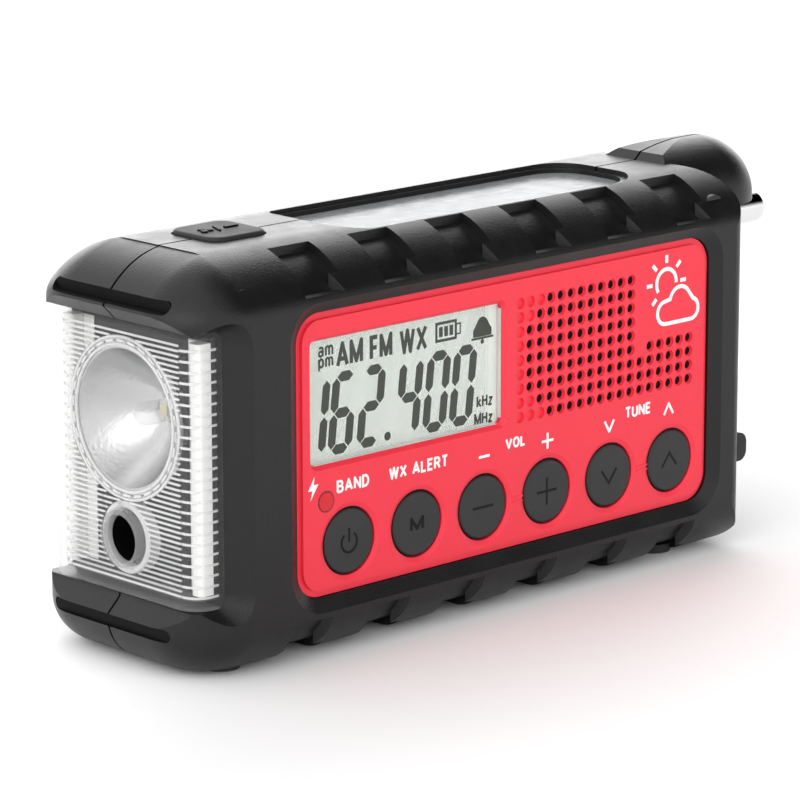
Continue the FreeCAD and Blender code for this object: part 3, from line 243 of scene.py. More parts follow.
paper_cone = moulded("paper_cone", (0.03, 0.03, 0.033), 0.85, 0.15 * MM, 0.02 * MM, 0.2)
ferrite = moulded("ferrite", (0.05, 0.05, 0.05), 0.55, 0.2 * MM, 0.01 * MM, 0.4)
cell_sleeve = moulded("cell_sleeve", (0.05, 0.16, 0.36), 0.25, 0.5 * MM, 0.002 * MM, patch=0.04,
                      coat=0.3)
led_chip = moulded("led_chip", (0.80, 0.74, 0.48), 0.4, 0.3 * MM, 0.004 * MM)

NODE_MATERIALS = {
    black_plastic: ("front_housing", "rear_housing", "battery_door", "crank_arm", "crank_knob",
                    "headphone_jack"),
    red_plastic: ("front_panel",),
    key_rubber: ("power_key", "memory_key", "volume_down_key", "volume_up_key",
                 "tune_down_key", "tune_up_key"),
    rubber: ("rubber_feet", "keypad_mat", "torch_button", "port_cover"),
    frame_grey: ("battery_tray",),
    clear_window: ("lcd_window",),
    clear_lens: ("torch_lens",),
    clear_tube: ("sounder_tube",),
    milky_cover: ("solar_cover",),
    cells_blue: ("solar_cells",),
    display_glass: ("lcd_module",),
    lamp_red: ("charge_led",),
    board_green: ("main_board", "port_board"),
    white_plastic: ("side_diffuser_front", "side_diffuser_rear", "antenna_clamp", "torch_led"),
    mirror: ("torch_reflector",),
    steel: ("speaker_basket", "speaker_magnet", "torch_switch", "idler_spindle", "gearbox_plate",
            "battery_contacts", "usb_output_socket", "usb_input_socket", "housing_screws",
            "crank_shaft", "crank_knob_pin", "crank_knob_post"),
    aluminium: ("dynamo",),
    chrome: ("antenna_tube_1", "antenna_tube_2", "antenna_tube_3", "antenna_tube_4",
             "antenna_rod"),
    brass: ("dynamo_pinion",),
    deep_black_and_shade: ("piezo_sounder", "torch_frame"),
    copper: ("ferrite_coil",),
    ferrite: ("ferrite_rod",),
    nylon: ("drive_gear", "idler_gear"),
    paper_cone: ("speaker_cone",),
    cell_sleeve: ("aa_cells", "lithium_pack"),
}


def paint_cad_nodes():
    for material, names in NODE_MATERIALS.items():
        for name in names:
            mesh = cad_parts[name].data
            mesh.materials.clear()
            mesh.materials.append(material)


# ---------------------------------------------------------------- piece building

def finish_piece(name, work, material, body, smooth=None):
    """Turns a bmesh into a named piece that rides on a body."""
    bmesh.ops.recalc_face_normals(work, faces=work.faces)
    mesh = bpy.data.meshes.new(name)
    work.to_mesh(mesh)
    work.free()
    mesh.materials.append(material)
    if smooth is not None:
        mesh.shade_smooth()
        mesh.set_sharp_from_angle(angle=math.radians(smooth))
    piece = bpy.data.objects.new(name, mesh)
    bpy.context.scene.collection.objects.link(piece)
    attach(piece, body)


def case(x, y, z):
    """Frame vector of a point in millimetres: X and Y from the casing's middle, Z from its base."""
    return Vector((CASE_X + x * MM, y * MM, CASE_Z + z * MM))


def case_box(name):
    """Corners of a carried-over piece, in the same millimetres."""
    return [((corner.x - CASE_X) / MM, corner.y / MM, (corner.z - CASE_Z) / MM)
            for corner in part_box(name)]


def front_centre(name):
    """Middle of a carried-over piece as seen from the front: X and Z."""
    low, high = case_box(name)
    return (low[0] + high[0]) / 2, (low[2] + high[2]) / 2


SHARP_BEND = 0.35       # bends whose (1 + cosine of the turn) / 2 is less aren't mitred
LAYERS = 7              # outlines take turns at this many depths,
LAYER_STEP = 0.006      # this far apart


def prisms(name, outlines, base_depth, to_point, material, body):
    """One piece made of closed flat prisms.

    Each outline is a list of (u, v) in millimetres; to_point(u, v, w) places it, w running
    from 0 to its depth. Depths differ by a hair so that crossing strokes are never in one
    plane."""
    work = bmesh.new()
    for index, outline in enumerate(outlines):
        depth = base_depth + index % LAYERS * LAYER_STEP
        bottom = [work.verts.new(to_point(u, v, 0)) for u, v in outline]
        top = [work.verts.new(to_point(u, v, depth)) for u, v in outline]
        work.faces.new(bottom)
        work.faces.new(list(reversed(top)))
        for i in range(len(outline)):
            j = (i + 1) % len(outline)
            work.faces.new((bottom[j], bottom[i], top[i], top[j]))
    finish_piece(name, work, material, body)


def on_front(plane):
    """Places outlines on a plane that faces the front, growing towards the viewer."""
    return lambda u, v, w: case(u, plane - w, v)


def on_top(plane):
    """Places outlines on a level plane, growing upwards."""
    return lambda u, v, w: case(u, v, plane + w)


def ribbon(points, width, closed=False):
    """Outlines of a stroke of even width; gentle bends are mitred, sharp ones rounded."""
    count = len(points)
    last = count if closed else count - 1
    normals = []
    for i in range(last):
        (u0, v0), (u1, v1) = points[i], points[(i + 1) % count]
        length = math.hypot(u1 - u0, v1 - v0)
        normals.append(((v0 - v1) / length, (u1 - u0) / length))
    outlines = []
    for i in range(last):
        sides = []
        for corner, other in ((i, i - 1), (i + 1, i + 1)):
            u, v = points[corner % count]
            nu, nv = normals[i]
            if closed or 0 <= other < last:
                mu, mv = normals[other % last]
                share = (1 + nu * mu + nv * mv) / 2
                if share > SHARP_BEND:
                    nu, nv = (nu + mu) / 2 / share, (nv + mv) / 2 / share
                elif corner > i:
                    outlines.append(disc((u, v), width / 2, 12))
            nu, nv = nu * width / 2, nv * width / 2
            sides.append(((u + nu, v + nv), (u - nu, v - nv)))
        (a, b), (c, d) = sides
        outlines.append([a, b, d, c])
    return outlines


def bar(start, end, width):
    """Outline of one straight stroke with square ends."""
    return ribbon([start, end], width)[0]


def arc(u, v, ru, rv, start, end, count=12):
    """Points along part of an ellipse, angles in degrees."""
    angles = [math.radians(start + (end - start) * i / count) for i in range(count + 1)]
    return [(u + ru * math.cos(t), v + rv * math.sin(t)) for t in angles]


def disc(centre, radius, count=24):
    return [(centre[0] + radius * math.cos(2 * math.pi * i / count),
             centre[1] + radius * math.sin(2 * math.pi * i / count)) for i in range(count)]


def rectangle(x0, y0, x1, y1):
    return [(x0, y0), (x1, y0), (x1, y1), (x0, y1)]


# Centre lines of plain upright letters, one unit tall, with their widths.
LETTERS = {
    " ": (0.22, []),
    "A": (0.66, [[(0, 0), (0.33, 1), (0.66, 0)], [(0.11, 0.3), (0.55, 0.3)]]),
    "B": (0.52, [[(0, 0), (0, 1), (0.28, 1)] + arc(0.28, 0.77, 0.20, 0.23, 75, -75, 8)
                 + [(0.28, 0.54), (0, 0.54)],
                 [(0.28, 0.54)] + arc(0.28, 0.27, 0.24, 0.27, 75, -75, 8) + [(0.28, 0), (0, 0)]]),
    "D": (0.54, [[(0, 0), (0, 1), (0.22, 1)] + arc(0.22, 0.5, 0.32, 0.5, 75, -75, 10)
                 + [(0.22, 0), (0, 0)]]),
    "E": (0.46, [[(0.46, 1), (0, 1), (0, 0), (0.46, 0)], [(0, 0.53), (0.42, 0.53)]]),
    "F": (0.44, [[(0.44, 1), (0, 1), (0, 0)], [(0, 0.51), (0.40, 0.51)]]),
    "H": (0.54, [[(0, 0), (0, 1)], [(0.54, 0), (0.54, 1)], [(0, 0.53), (0.54, 0.53)]]),
    "L": (0.42, [[(0, 1), (0, 0), (0.42, 0)]]),
    "M": (0.72, [[(0, 0), (0, 1), (0.36, 0.08), (0.72, 1), (0.72, 0)]]),
    "N": (0.56, [[(0, 0), (0, 1), (0.56, 0), (0.56, 1)]]),
    "O": (0.60, [arc(0.30, 0.5, 0.30, 0.5, 90, 450, 24)]),
    "R": (0.54, [[(0, 0), (0, 1), (0.28, 1)] + arc(0.28, 0.75, 0.22, 0.25, 75, -75, 8)
                 + [(0.28, 0.5), (0, 0.5)], [(0.28, 0.5), (0.54, 0)]]),
    "T": (0.54, [[(0, 1), (0.54, 1)], [(0.27, 1), (0.27, 0)]]),
    "U": (0.54, [[(0, 1)] + arc(0.27, 0.28, 0.27, 0.28, 180, 360) + [(0.54, 1)]]),
    "V": (0.62, [[(0, 1), (0.31, 0), (0.62, 1)]]),
    "W": (0.88, [[(0, 1), (0.22, 0), (0.44, 1), (0.66, 0), (0.88, 1)]]),
    "X": (0.58, [[(0, 0), (0.58, 1)], [(0, 1), (0.58, 0)]]),
    "a": (0.46, [arc(0.24, 0.45, 0.20, 0.23, 150, 0) + [(0.44, 0)],
                 arc(0.22, 0.19, 0.20, 0.19, 0, 360, 16)]),
    "k": (0.44, [[(0, 0), (0, 1)], [(0.42, 0.68), (0.03, 0.28)], [(0.15, 0.40), (0.44, 0)]]),
    "m": (0.70, [[(0, 0), (0, 0.68)], arc(0.175, 0.46, 0.175, 0.22, 180, 0) + [(0.35, 0)],
                 arc(0.525, 0.46, 0.175, 0.22, 180, 0) + [(0.70, 0)]]),
    "p": (0.46, [[(0, 0.68), (0, -0.28)], arc(0.23, 0.34, 0.22, 0.33, 0, 360, 16)]),
    "z": (0.40, [[(0, 0.68), (0.40, 0.68), (0, 0), (0.40, 0)]]),
}
LETTER_GAP = 0.30


def lettering(text, box, stroke):
    """Outlines of upright text that fills box = (x0, z0, x1, z1)."""
    lines, across = [], 0.0
    for letter in text:
        width, strokes = LETTERS[letter]
        lines += [[(across + u, v) for u, v in line] for line in strokes]
        across += width + LETTER_GAP
    us = [u for line in lines for u, v in line]
    vs = [v for line in lines for u, v in line]
    x0, z0 = box[0] + stroke / 2, box[1] + stroke / 2
    x1, z1 = box[2] - stroke / 2, box[3] - stroke / 2
    outlines = []
    for line in lines:
        placed = [(x0 + (x1 - x0) * (u - min(us)) / (max(us) - min(us)),
                   z0 + (z1 - z0) * (v - min(vs)) / (max(vs) - min(vs))) for u, v in line]
        joined = math.dist(line[0], line[-1]) < 1e-6
        outlines += ribbon(placed[:-1] if joined else placed, stroke, joined)
    return outlines


# ---------------------------------------------------------------- display

DISPLAY_PLANE = -24.42          # front face of the display module, in millimetres
DIGIT_HEIGHT = 17.6
DIGIT_WIDTH = 7.0
DIGIT_STROKE = 2.15
DIGIT_GAP = 0.20
DIGIT_SLANT = 0.115
DIGIT_BASE = 41.0
# Dark segments of each digit, lettered clockwise from the top, with g in the middle.
SEGMENTS = {"1": "bc", "6": "acdefg", "2": "abdeg", "4": "bcfg", "0": "abcdef"}
# Each digit with the X of its left edge.
DIGITS = (("1", -50.1), ("6", -42.5), ("2", -34.2), ("4", -23.1), ("0", -15.0), ("0", -7.1))
DECIMAL_POINT, POINT_RADIUS = (-25.0, 42.4), 0.95
# Each word with the box that it fills and the width of its strokes.
DISPLAY_WORDS = (("AM", (-39.7, 59.5, -32.0, 65.1), 0.95),
                 ("FM", (-30.1, 59.5, -23.5, 65.0), 0.95),
                 ("WX", (-21.4, 59.4, -13.3, 65.0), 0.90),
                 ("am", (-44.8, 62.5, -40.5, 64.9), 0.50),
                 ("pm", (-44.8, 59.4, -40.5, 62.4), 0.50),
                 ("kHz", (1.5, 44.0, 6.4, 46.8), 0.50),
                 ("MHz", (0.8, 40.2, 6.4, 42.9), 0.50))
BATTERY_BOX = (-10.9, 60.4, -4.5, 64.8)
BELL_CENTRE, BELL_SIZE = (3.2, 61.6), 6.6
DISPLAY_INK_DEPTH = 0.02


def segment_outline(letter, left):
    """One slanted six-sided segment of a digit whose left edge is at left."""
    half = DIGIT_STROKE / 2
    low, middle, high = half, DIGIT_HEIGHT / 2, DIGIT_HEIGHT - half
    west, east = half, DIGIT_WIDTH - half
    gap = DIGIT_GAP
    upright = {"b": (east, middle, high), "c": (east, low, middle),
               "e": (west, low, middle), "f": (west, middle, high)}
    level = {"a": high, "g": middle, "d": low}
    if letter in upright:
        x, z0, z1 = upright[letter]
        z0, z1 = z0 + gap, z1 - gap
        points = [(x, z0), (x + half, z0 + half), (x + half, z1 - half), (x, z1),
                  (x - half, z1 - half), (x - half, z0 + half)]
    else:
        z = level[letter]
        x0, x1 = west + gap, east - gap
        points = [(x0, z), (x0 + half, z - half), (x1 - half, z - half), (x1, z),
                  (x1 - half, z + half), (x0 + half, z + half)]
    return [(left + x + DIGIT_SLANT * z, DIGIT_BASE + z) for x, z in points]


def bell(centre, size):
    """Alarm bell: dome, rim and clapper, all in proportion to its size."""
    u, v = centre
    dome = [(u - 0.42 * size, v - 0.28 * size), (u + 0.42 * size, v - 0.28 * size)]
    steps = 14
    for i in range(steps + 1):
        t = i / steps
        flare = 0.30 + 0.12 * abs(1 - 2 * t) ** 6
        angle = math.pi * t
        rise = 0.42 * math.sin(angle) - 0.04
        dome.append((u + flare * size * math.cos(angle), v + rise * size))
    rim = bar((u - 0.5 * size, v - 0.33 * size), (u + 0.5 * size, v - 0.33 * size), 0.07 * size)
    return [dome, rim, disc((u, v - 0.45 * size), 0.08 * size, 16)]


def battery_icon(x0, z0, x1, z1):
    """Outlined battery with a small terminal on its right and three upright bars in it."""
    stroke = 0.6
    outlines = [bar((x0, z0 + stroke / 2), (x1, z0 + stroke / 2), stroke),
                bar((x0, z1 - stroke / 2), (x1, z1 - stroke / 2), stroke),
                bar((x0 + stroke / 2, z0 + stroke), (x0 + stroke / 2, z1 - stroke), stroke),
                bar((x1 - stroke / 2, z0 + stroke), (x1 - stroke / 2, z1 - stroke), stroke)]
    middle = (z0 + z1) / 2
    reach, half, thin = 1.2, 1.1, 0.35
    end = x1 + 1.03         # centre line of the terminal's outer stroke
    outlines += [bar((x1, middle + half), (x1 + reach, middle + half), thin),
                 bar((x1, middle - half), (x1 + reach, middle - half), thin),
                 bar((end, middle - half + 0.15), (end, middle + half - 0.15), thin)]
    first, pitch, inset, wide = 1.65, 1.55, 1.1, 1.05
    for index in range(3):
        x = x0 + first + index * pitch
        outlines.append(bar((x, z0 + inset), (x, z1 - inset), wide))
    return outlines


def make_display():
    ink = []
    for digit, left in DIGITS:
        for letter in SEGMENTS[digit]:
            ink.append(segment_outline(letter, left))
    ink.append(disc(DECIMAL_POINT, POINT_RADIUS))
    ink += battery_icon(*BATTERY_BOX)
    ink += bell(BELL_CENTRE, BELL_SIZE)
    for text, box, stroke in DISPLAY_WORDS:
        ink += lettering(text, box, stroke)
    prisms("display_figures", ink, DISPLAY_INK_DEPTH, on_front(DISPLAY_PLANE), display_ink,
           "casing")


# ---------------------------------------------------------------- printed panel

PANEL_PLANE = -27.0             # front face of the red panel
PRINT_DEPTH = 0.03
# Each label with the box that it fills.
LABELS = (("BAND", (-42.1, 33.4, -32.8, 36.2)), ("WX ALERT", (-27.0, 33.5, -9.6, 36.3)),
          ("VOL", (7.8, 34.1, 14.0, 36.6)), ("TUNE", (45.6, 34.6, 54.0, 37.3)))
LABEL_STROKE = 0.54
# Strokes of the minus and plus signs over the volume keys, as start and end points.
VOLUME_SIGNS = (((-0.3, 33.8), (3.0, 33.8)), ((19.1, 33.9), (22.7, 33.9)),
                ((20.9, 35.7), (20.9, 32.1)))
TUNE_SIGNS = (((40.5, 33.9), -1), ((59.9, 34.6), 1))     # centre and direction of each chevron
TUNE_SIGN_WIDTH, TUNE_SIGN_HEIGHT = 3.0, 2.5
SIGN_STROKE = 0.60
CHARGE_BOLT = [(-48.4, 38.1), (-50.2, 35.2), (-49.0, 35.2), (-49.5, 33.1), (-47.3, 36.4),
               (-48.6, 36.4)]
WEATHER_CENTRE, WEATHER_SIZE = (61.4, 61.0), 20.0
# Short raised ridges between the volume keys and between the tuning keys.
RIDGE_SPANS, RIDGE_HEIGHTS = ((9.9, 13.2), (49.4, 52.9)), (21.9, 22.9)
RIDGE_WIDTH, RIDGE_DEPTH = 0.35, 0.15


def chevron(centre, width, height, stroke, direction):
    """Open arrowhead that points up (direction 1) or down (-1)."""
    u, v = centre
    tip = (u, v + direction * height / 2)
    low = v - direction * height / 2
    return ribbon([(u - width / 2, low), tip, (u + width / 2, low)], stroke)


def cloud_and_sun(centre, size):
    """Plain weather pictogram: a half-hidden sun with rays over a cloud."""
    u, v = centre
    stroke = 0.045 * size
    sun = (u - 0.14 * size, v + 0.14 * size)
    outlines = ribbon(arc(*sun, 0.16 * size, 0.16 * size, -5, 215, 20), stroke)
    for angle in range(0, 226, 45):
        t = math.radians(angle)
        ray = [(sun[0] + reach * size * math.cos(t), sun[1] + reach * size * math.sin(t))
               for reach in (0.23, 0.32)]
        outlines.append(bar(*ray, stroke))
    # Each puff's centre and radius as shares of the size, and the angles that it spans.
    puffs = ((0.27, -0.21, 0.12, -90, 75), (0.09, -0.10, 0.17, 30, 165),
             (-0.15, -0.20, 0.13, 95, 270))
    cloud = []
    for du, dv, radius, start, end in puffs:
        cloud += arc(u + du * size, v + dv * size, radius * size, radius * size, start, end)
    return outlines + ribbon(cloud, stroke, True)


WINDOW = (-48.65, 40.05, 7.25, 66.75)       # X and Z of the opening's lower left and upper right
WINDOW_CORNER = 1.2
LINER_WIDTH = 0.05
LINER_DEPTH = 1.0
LINER_INSET = 2.0               # the liner's back behind the face of the panel


def make_window_liner():
    """Pale liner round the clear pane, between it and the panel."""
    x0, z0, x1, z1 = WINDOW
    c = WINDOW_CORNER
    sides = (((x0, z0 + c), (x0, z1 - c)), ((x1, z0 + c), (x1, z1 - c)),
             ((x0 + c, z0), (x1 - c, z0)), ((x0 + c, z1), (x1 - c, z1)))
    outlines = [bar(start, end, LINER_WIDTH) for start, end in sides]
    prisms("window_liner", outlines, LINER_DEPTH, on_front(PANEL_PLANE + LINER_INSET),
           liner_pale, "casing")


LAMP_RING_GAP, LAMP_RING_WIDTH, LAMP_RING_DEPTH = 0.2, 0.3, 0.02


def make_lamp_ring():
    """Painted shade: a dark ring on the panel round the charge lamp's hole, where the gap lies in
    shade.
    """
    low, high = case_box("charge_led")
    radius = (high[0] - low[0]) / 2 + LAMP_RING_GAP
    ring = ribbon(disc(front_centre("charge_led"), radius), LAMP_RING_WIDTH, True)
    prisms("lamp_shadow", ring, LAMP_RING_DEPTH, on_front(PANEL_PLANE), lamp_gap_shade, "casing")


def make_print():
    marks = [bar(start, end, SIGN_STROKE) for start, end in VOLUME_SIGNS]
    for centre, direction in TUNE_SIGNS:
        marks += chevron(centre, TUNE_SIGN_WIDTH, TUNE_SIGN_HEIGHT, SIGN_STROKE, direction)
    marks.append(CHARGE_BOLT)
    marks += cloud_and_sun(WEATHER_CENTRE, WEATHER_SIZE)
    for text, box in LABELS:
        marks += lettering(text, box, LABEL_STROKE)
    prisms("printed_marks", marks, PRINT_DEPTH, on_front(PANEL_PLANE), white_print, "casing")


def make_panel_ridges():
    ridges = [bar((x0, z), (x1, z), RIDGE_WIDTH) for x0, x1 in RIDGE_SPANS for z in RIDGE_HEIGHTS]
    prisms("panel_ridges", ridges, RIDGE_DEPTH, on_front(PANEL_PLANE), red_plastic, "casing")


# ---------------------------------------------------------------- key legends

LEGEND_STROKE = 0.6
LEGEND_REACH = 3.1              # half length of the plus and minus strokes
ARROW_WIDTH, ARROW_HEIGHT = 4.8, 3.1
POWER_RADIUS, POWER_STROKE = 2.2, 0.55
MEMORY_HALF_WIDTH, MEMORY_HALF_HEIGHT, MEMORY_STROKE = 2.05, 1.65, 0.75


def make_legends():
    def legend(key, outlines):
        prisms(key + "_legend", outlines, PRINT_DEPTH, on_front(case_box(key)[0][1]),
               legend_black, key)

    reach, stroke = LEGEND_REACH, LEGEND_STROKE
    u, v = front_centre("power_key")
    legend("power_key", ribbon(arc(u, v - 0.3, POWER_RADIUS, POWER_RADIUS, 128, 412, 28),
                               POWER_STROKE)
           + [bar((u, v - 0.2), (u, v + 2.8), POWER_STROKE)])
    u, v = front_centre("memory_key")
    legend("memory_key", lettering("M", (u - MEMORY_HALF_WIDTH, v - MEMORY_HALF_HEIGHT,
                                         u + MEMORY_HALF_WIDTH, v + MEMORY_HALF_HEIGHT),
                                   MEMORY_STROKE))
    u, v = front_centre("volume_down_key")
    legend("volume_down_key", [bar((u - reach, v), (u + reach, v), stroke)])
    u, v = front_centre("volume_up_key")
    legend("volume_up_key", [bar((u - reach, v), (u + reach, v), stroke),
                             bar((u, v + stroke / 2), (u, v + reach), stroke),
                             bar((u, v - reach), (u, v - stroke / 2), stroke)])
    u, v = front_centre("tune_down_key")
    legend("tune_down_key", chevron((u, v - 0.2), ARROW_WIDTH, ARROW_HEIGHT, stroke, -1))
    u, v = front_centre("tune_up_key")
    legend("tune_up_key", chevron((u, v + 0.2), ARROW_WIDTH, ARROW_HEIGHT, stroke, 1))


# Marks on the torch button, from its middle: dots, then strokes with their widths.
ICON_DOTS, DOT_RADIUS = ((-3.9, 1.2), (-2.6, -0.2), (-4.6, -0.8)), 0.8
ICON_STROKES = (((-1.2, -1.9), (0.3, 2.1), 0.5), ((1.7, 0.1), (5.2, 0.1), 0.9))
ICON_HEIGHT = 0.35


def make_button_icons():
    """Raised marks on the torch button: three dots, a slash and a dash."""
    low, high = case_box("torch_button")
    u, v = (low[0] + high[0]) / 2, (low[1] + high[1]) / 2
    raised = [disc((u + du, v + dv), DOT_RADIUS, 12) for du, dv in ICON_DOTS]
    raised += [bar((u + u0, v + v0), (u + u1, v + v1), width)
               for (u0, v0), (u1, v1), width in ICON_STROKES]
    prisms("torch_button_icons", raised, ICON_HEIGHT, on_top(high[2]), deep_black_and_shade,
           "torch_button")


# ---------------------------------------------------------------- torch end

LENS_WALL = 1.7
LENS_CORNER = 6.0               # outer radius of the lens's upright corners
RIB_REACH = 0.40                # how far the ribs stand off the inside of the lens
RIB_MARGIN = 0.6                # clear strip between the ribs and the lens's top and base
RING_MARGIN = 0.15              # clear strip between the ribs and the rings
RIB_END_GAP = 0.3               # between the end ribs and the lens's corners
SHORTEST_RIB = 0.5
END_RIB_HEIGHT = 0.50
END_RIB_PITCH = 1.13
WRAP_RIB_HEIGHT = 0.55
WRAP_RIB_PITCH = 2.27
WRAP_END_GAP = 0.1              # between the coarse ribs and the lens's open edge
WRAP_STEPS = 8
BIG_RING = (50.8, 15.9, 17.6)   # height, inner and outer radius
SMALL_RING = (25.2, 6.3, 7.8)


def spans_outside(half, height):
    """Stretches of Y from -half to half that clear both rings at a height."""
    cuts = []
    for centre, _, outer in (BIG_RING, SMALL_RING):
        reach = outer + RING_MARGIN
        if abs(height - centre) < reach:
            y = math.sqrt(reach ** 2 - (height - centre) ** 2)
            cuts.append((-y, y))
    spans = [(-half, half)]
    for y0, y1 in cuts:
        pieces = []
        for a, b in spans:
            if a < y0:
                pieces.append((a, min(b, y0)))
            if b > y1:
                pieces.append((max(a, y1), b))
        spans = pieces
    return [(a, b) for a, b in spans if b - a > SHORTEST_RIB]


def make_lens_ribs():
    """Fine level ribs on the lens's end wall and coarser ones round its corners and sides."""
    low, high = case_box("torch_lens")
    face = low[0] + LENS_WALL
    bottom, top = low[2] + LENS_WALL + RIB_MARGIN, high[2] - LENS_WALL - RIB_MARGIN
    flat_half = high[1] - LENS_CORNER
    work = bmesh.new()

    def strip(points, z, height):
        """Bar of triangular section that follows (x, y, nx, ny) points."""
        rings = []
        for x, y, nx, ny in points:
            rings.append([work.verts.new(case(x, y, z - height / 2)),
                          work.verts.new(case(x + nx * RIB_REACH, y + ny * RIB_REACH, z)),
                          work.verts.new(case(x, y, z + height / 2))])
        for a, b in zip(rings, rings[1:]):
            for i in range(3):
                j = (i + 1) % 3
                work.faces.new((a[i], a[j], b[j], b[i]))
        work.faces.new(rings[0])
        work.faces.new(list(reversed(rings[-1])))

    count = int((top - bottom) / END_RIB_PITCH)
    for index in range(count + 1):
        z = bottom + index * END_RIB_PITCH
        for y0, y1 in spans_outside(flat_half - RIB_END_GAP, z):
            strip([(face, y0, 1, 0), (face, y1, 1, 0)], z, END_RIB_HEIGHT)

    radius = LENS_CORNER - LENS_WALL
    count = int((top - bottom) / WRAP_RIB_PITCH)
    for index in range(count + 1):
        z = bottom + index * WRAP_RIB_PITCH
        for side in (-1, 1):
            points = []
            for step in range(WRAP_STEPS + 1):
                t = math.radians(90 * step / WRAP_STEPS)
                points.append((face + radius * (1 - math.cos(t)),
                               side * (flat_half + radius * math.sin(t)),
                               math.cos(t), -side * math.sin(t)))
            points.append((high[0] - WRAP_END_GAP, side * (flat_half + radius), 0, -side))
            strip(points, z, WRAP_RIB_HEIGHT)
    finish_piece("lens_ribs", work, clear_rib, "casing")


LATHE_STEPS = 64
LATHE_SHARP = 35                # degrees; edges that turn by more stay sharp


def lathe(name, profile, height, material, body):
    """Turns a closed loop of (x, radius) points about a level X axis at a height."""
    work = bmesh.new()
    rings = []
    for i in range(LATHE_STEPS):
        t = 2 * math.pi * i / LATHE_STEPS
        rings.append([work.verts.new(case(x, r * math.sin(t), height + r * math.cos(t)))
                      for x, r in profile])
    for i in range(LATHE_STEPS):
        a, b = rings[i], rings[(i + 1) % LATHE_STEPS]
        for k in range(len(profile)):
            m = (k + 1) % len(profile)
            work.faces.new((a[k], a[m], b[m], b[k]))
    bmesh.ops.remove_doubles(work, verts=work.verts, dist=1e-6)
    finish_piece(name, work, material, body, LATHE_SHARP)


def ring_profile(x0, x1, inner, outer, r):
    """Section of a ring whose left edges are cut off by r."""
    return [(x0 + r, outer), (x0, outer - r), (x0, inner + r), (x0 + r, inner),
            (x1, inner), (x1, outer)]


def on_end(plane):
    """Places (y, z) outlines on an upright plane across X, growing towards the left end."""
    return lambda u, v, w: case(plane - w, u, v)


RING_WIDTH = 0.55
RING_DEPTH = 0.45
RING_ROUND = 0.15


def make_torch_rings():
    """Two fine rings inside the lens, round the reflector."""
    inside = case_box("torch_lens")[0][0] + LENS_WALL
    height, inner, outer = BIG_RING
    for name, r0, r1 in (("torch_ring", outer - RING_WIDTH, outer),
                         ("torch_ring_inner", inner - RING_WIDTH, inner)):
        lathe(name, ring_profile(inside, inside + RING_DEPTH, r0, r1, RING_ROUND), height,
              clear_rib, "casing")


WING_NEAR, WING_FAR = 15.2, 18.5        # Y range of the strip beside each diffuser
WING_BOTTOM, WING_TOP = 16.5, 69.5
WING_DEPTH, WING_GAP = 0.15, 0.02


def make_diffuser_wings():
    """Pale upright strips on the torch frame, beside each diffuser."""
    wings = [rectangle(side * WING_NEAR, WING_BOTTOM, side * WING_FAR, WING_TOP)
             for side in (-1, 1)]
    frame_front = case_box("torch_frame")[0][0]
    prisms("diffuser_wings", wings, WING_DEPTH, on_end(frame_front - WING_GAP), white_plastic,
           "casing")


DASH_COUNT = 30
DASH_SHARE = 220 / 360          # share of each dash's pitch that the dash takes
DASH_WIDTH, DASH_DEPTH = 0.45, 0.3


def make_ring_dashes():
    """Circle of short strokes between the two rings."""
    inside = case_box("torch_lens")[0][0] + LENS_WALL
    height, inner, outer = BIG_RING
    middle = (inner + outer - RING_WIDTH) / 2
    pitch = 360 / DASH_COUNT
    dashes = []
    for index in range(DASH_COUNT):
        start = index * pitch
        dashes += ribbon(arc(0, height, middle, middle, start, start + pitch * DASH_SHARE, 2),
                         DASH_WIDTH)
    prisms("torch_ring_dashes", dashes, DASH_DEPTH, lambda u, v, w: case(inside + w, u, v),
           clear_rib, "casing")


SOUNDER_WALL = 2.4              # collar and wall round the sounder's bore
SOUNDER_MOUTH = 2.4             # from the lens's face to where the bore's painted shade starts
SOUNDER_END_GAP = 0.1           # from the far end of the bore's painted shade to the tube's
SOUNDER_BORE_SHADE = (0.15, 0.05)    # inner and outer faces of the painted shade, inwards from the bore
SOUNDER_RING_DEPTH, SOUNDER_RING_ROUND = 3.0, 0.35


def make_sounder():
    """Black lining in the sounder's bore, painted shade that darkens it, and a thick clear ring
    round its mouth.
    """
    face = case_box("torch_lens")[0][0]
    height, inner, outer = SMALL_RING
    low, high = case_box("sounder_tube")
    bore = (high[1] - low[1]) / 2 - SOUNDER_WALL
    r0, r1 = [bore - gap for gap in SOUNDER_BORE_SHADE]
    start, end = face + SOUNDER_MOUTH, high[0] - SOUNDER_END_GAP
    lathe("sounder_bore_shade", [(start, r0), (start, r1), (end, r1), (end, r0)], height, deep_black_and_shade,
          "casing")
    inside = face + LENS_WALL
    lathe("sounder_ring", ring_profile(inside, inside + SOUNDER_RING_DEPTH, inner, outer,
                                       SOUNDER_RING_ROUND), height, clear_rib, "casing")


LED_CHIP_HALF, LED_CHIP_DEPTH = 1.1, 0.25
LED_LENGTH, LED_RADIUS = 7.5, 2.5
LED_DOME_STEPS = 10


def make_led():
    """Yellow chip of the torch's LED and the clear domed lens over it."""
    chip_x = case_box("torch_led")[0][0]
    height, half = BIG_RING[0], LED_CHIP_HALF
    prisms("led_chip", [rectangle(-half, height - half, half, height + half)], LED_CHIP_DEPTH,
           on_end(chip_x), led_chip, "casing")
    angles = [math.pi / 2 * i / LED_DOME_STEPS for i in range(LED_DOME_STEPS, -1, -1)]
    dome = [(chip_x - LED_LENGTH + LED_RADIUS * (1 - math.sin(t)), LED_RADIUS * math.cos(t))
            for t in angles]
    lathe("led_dome", dome + [(chip_x, LED_RADIUS), (chip_x, 0.0)], height, clear_tube, "casing")


# ---------------------------------------------------------------- speaker and grip slots

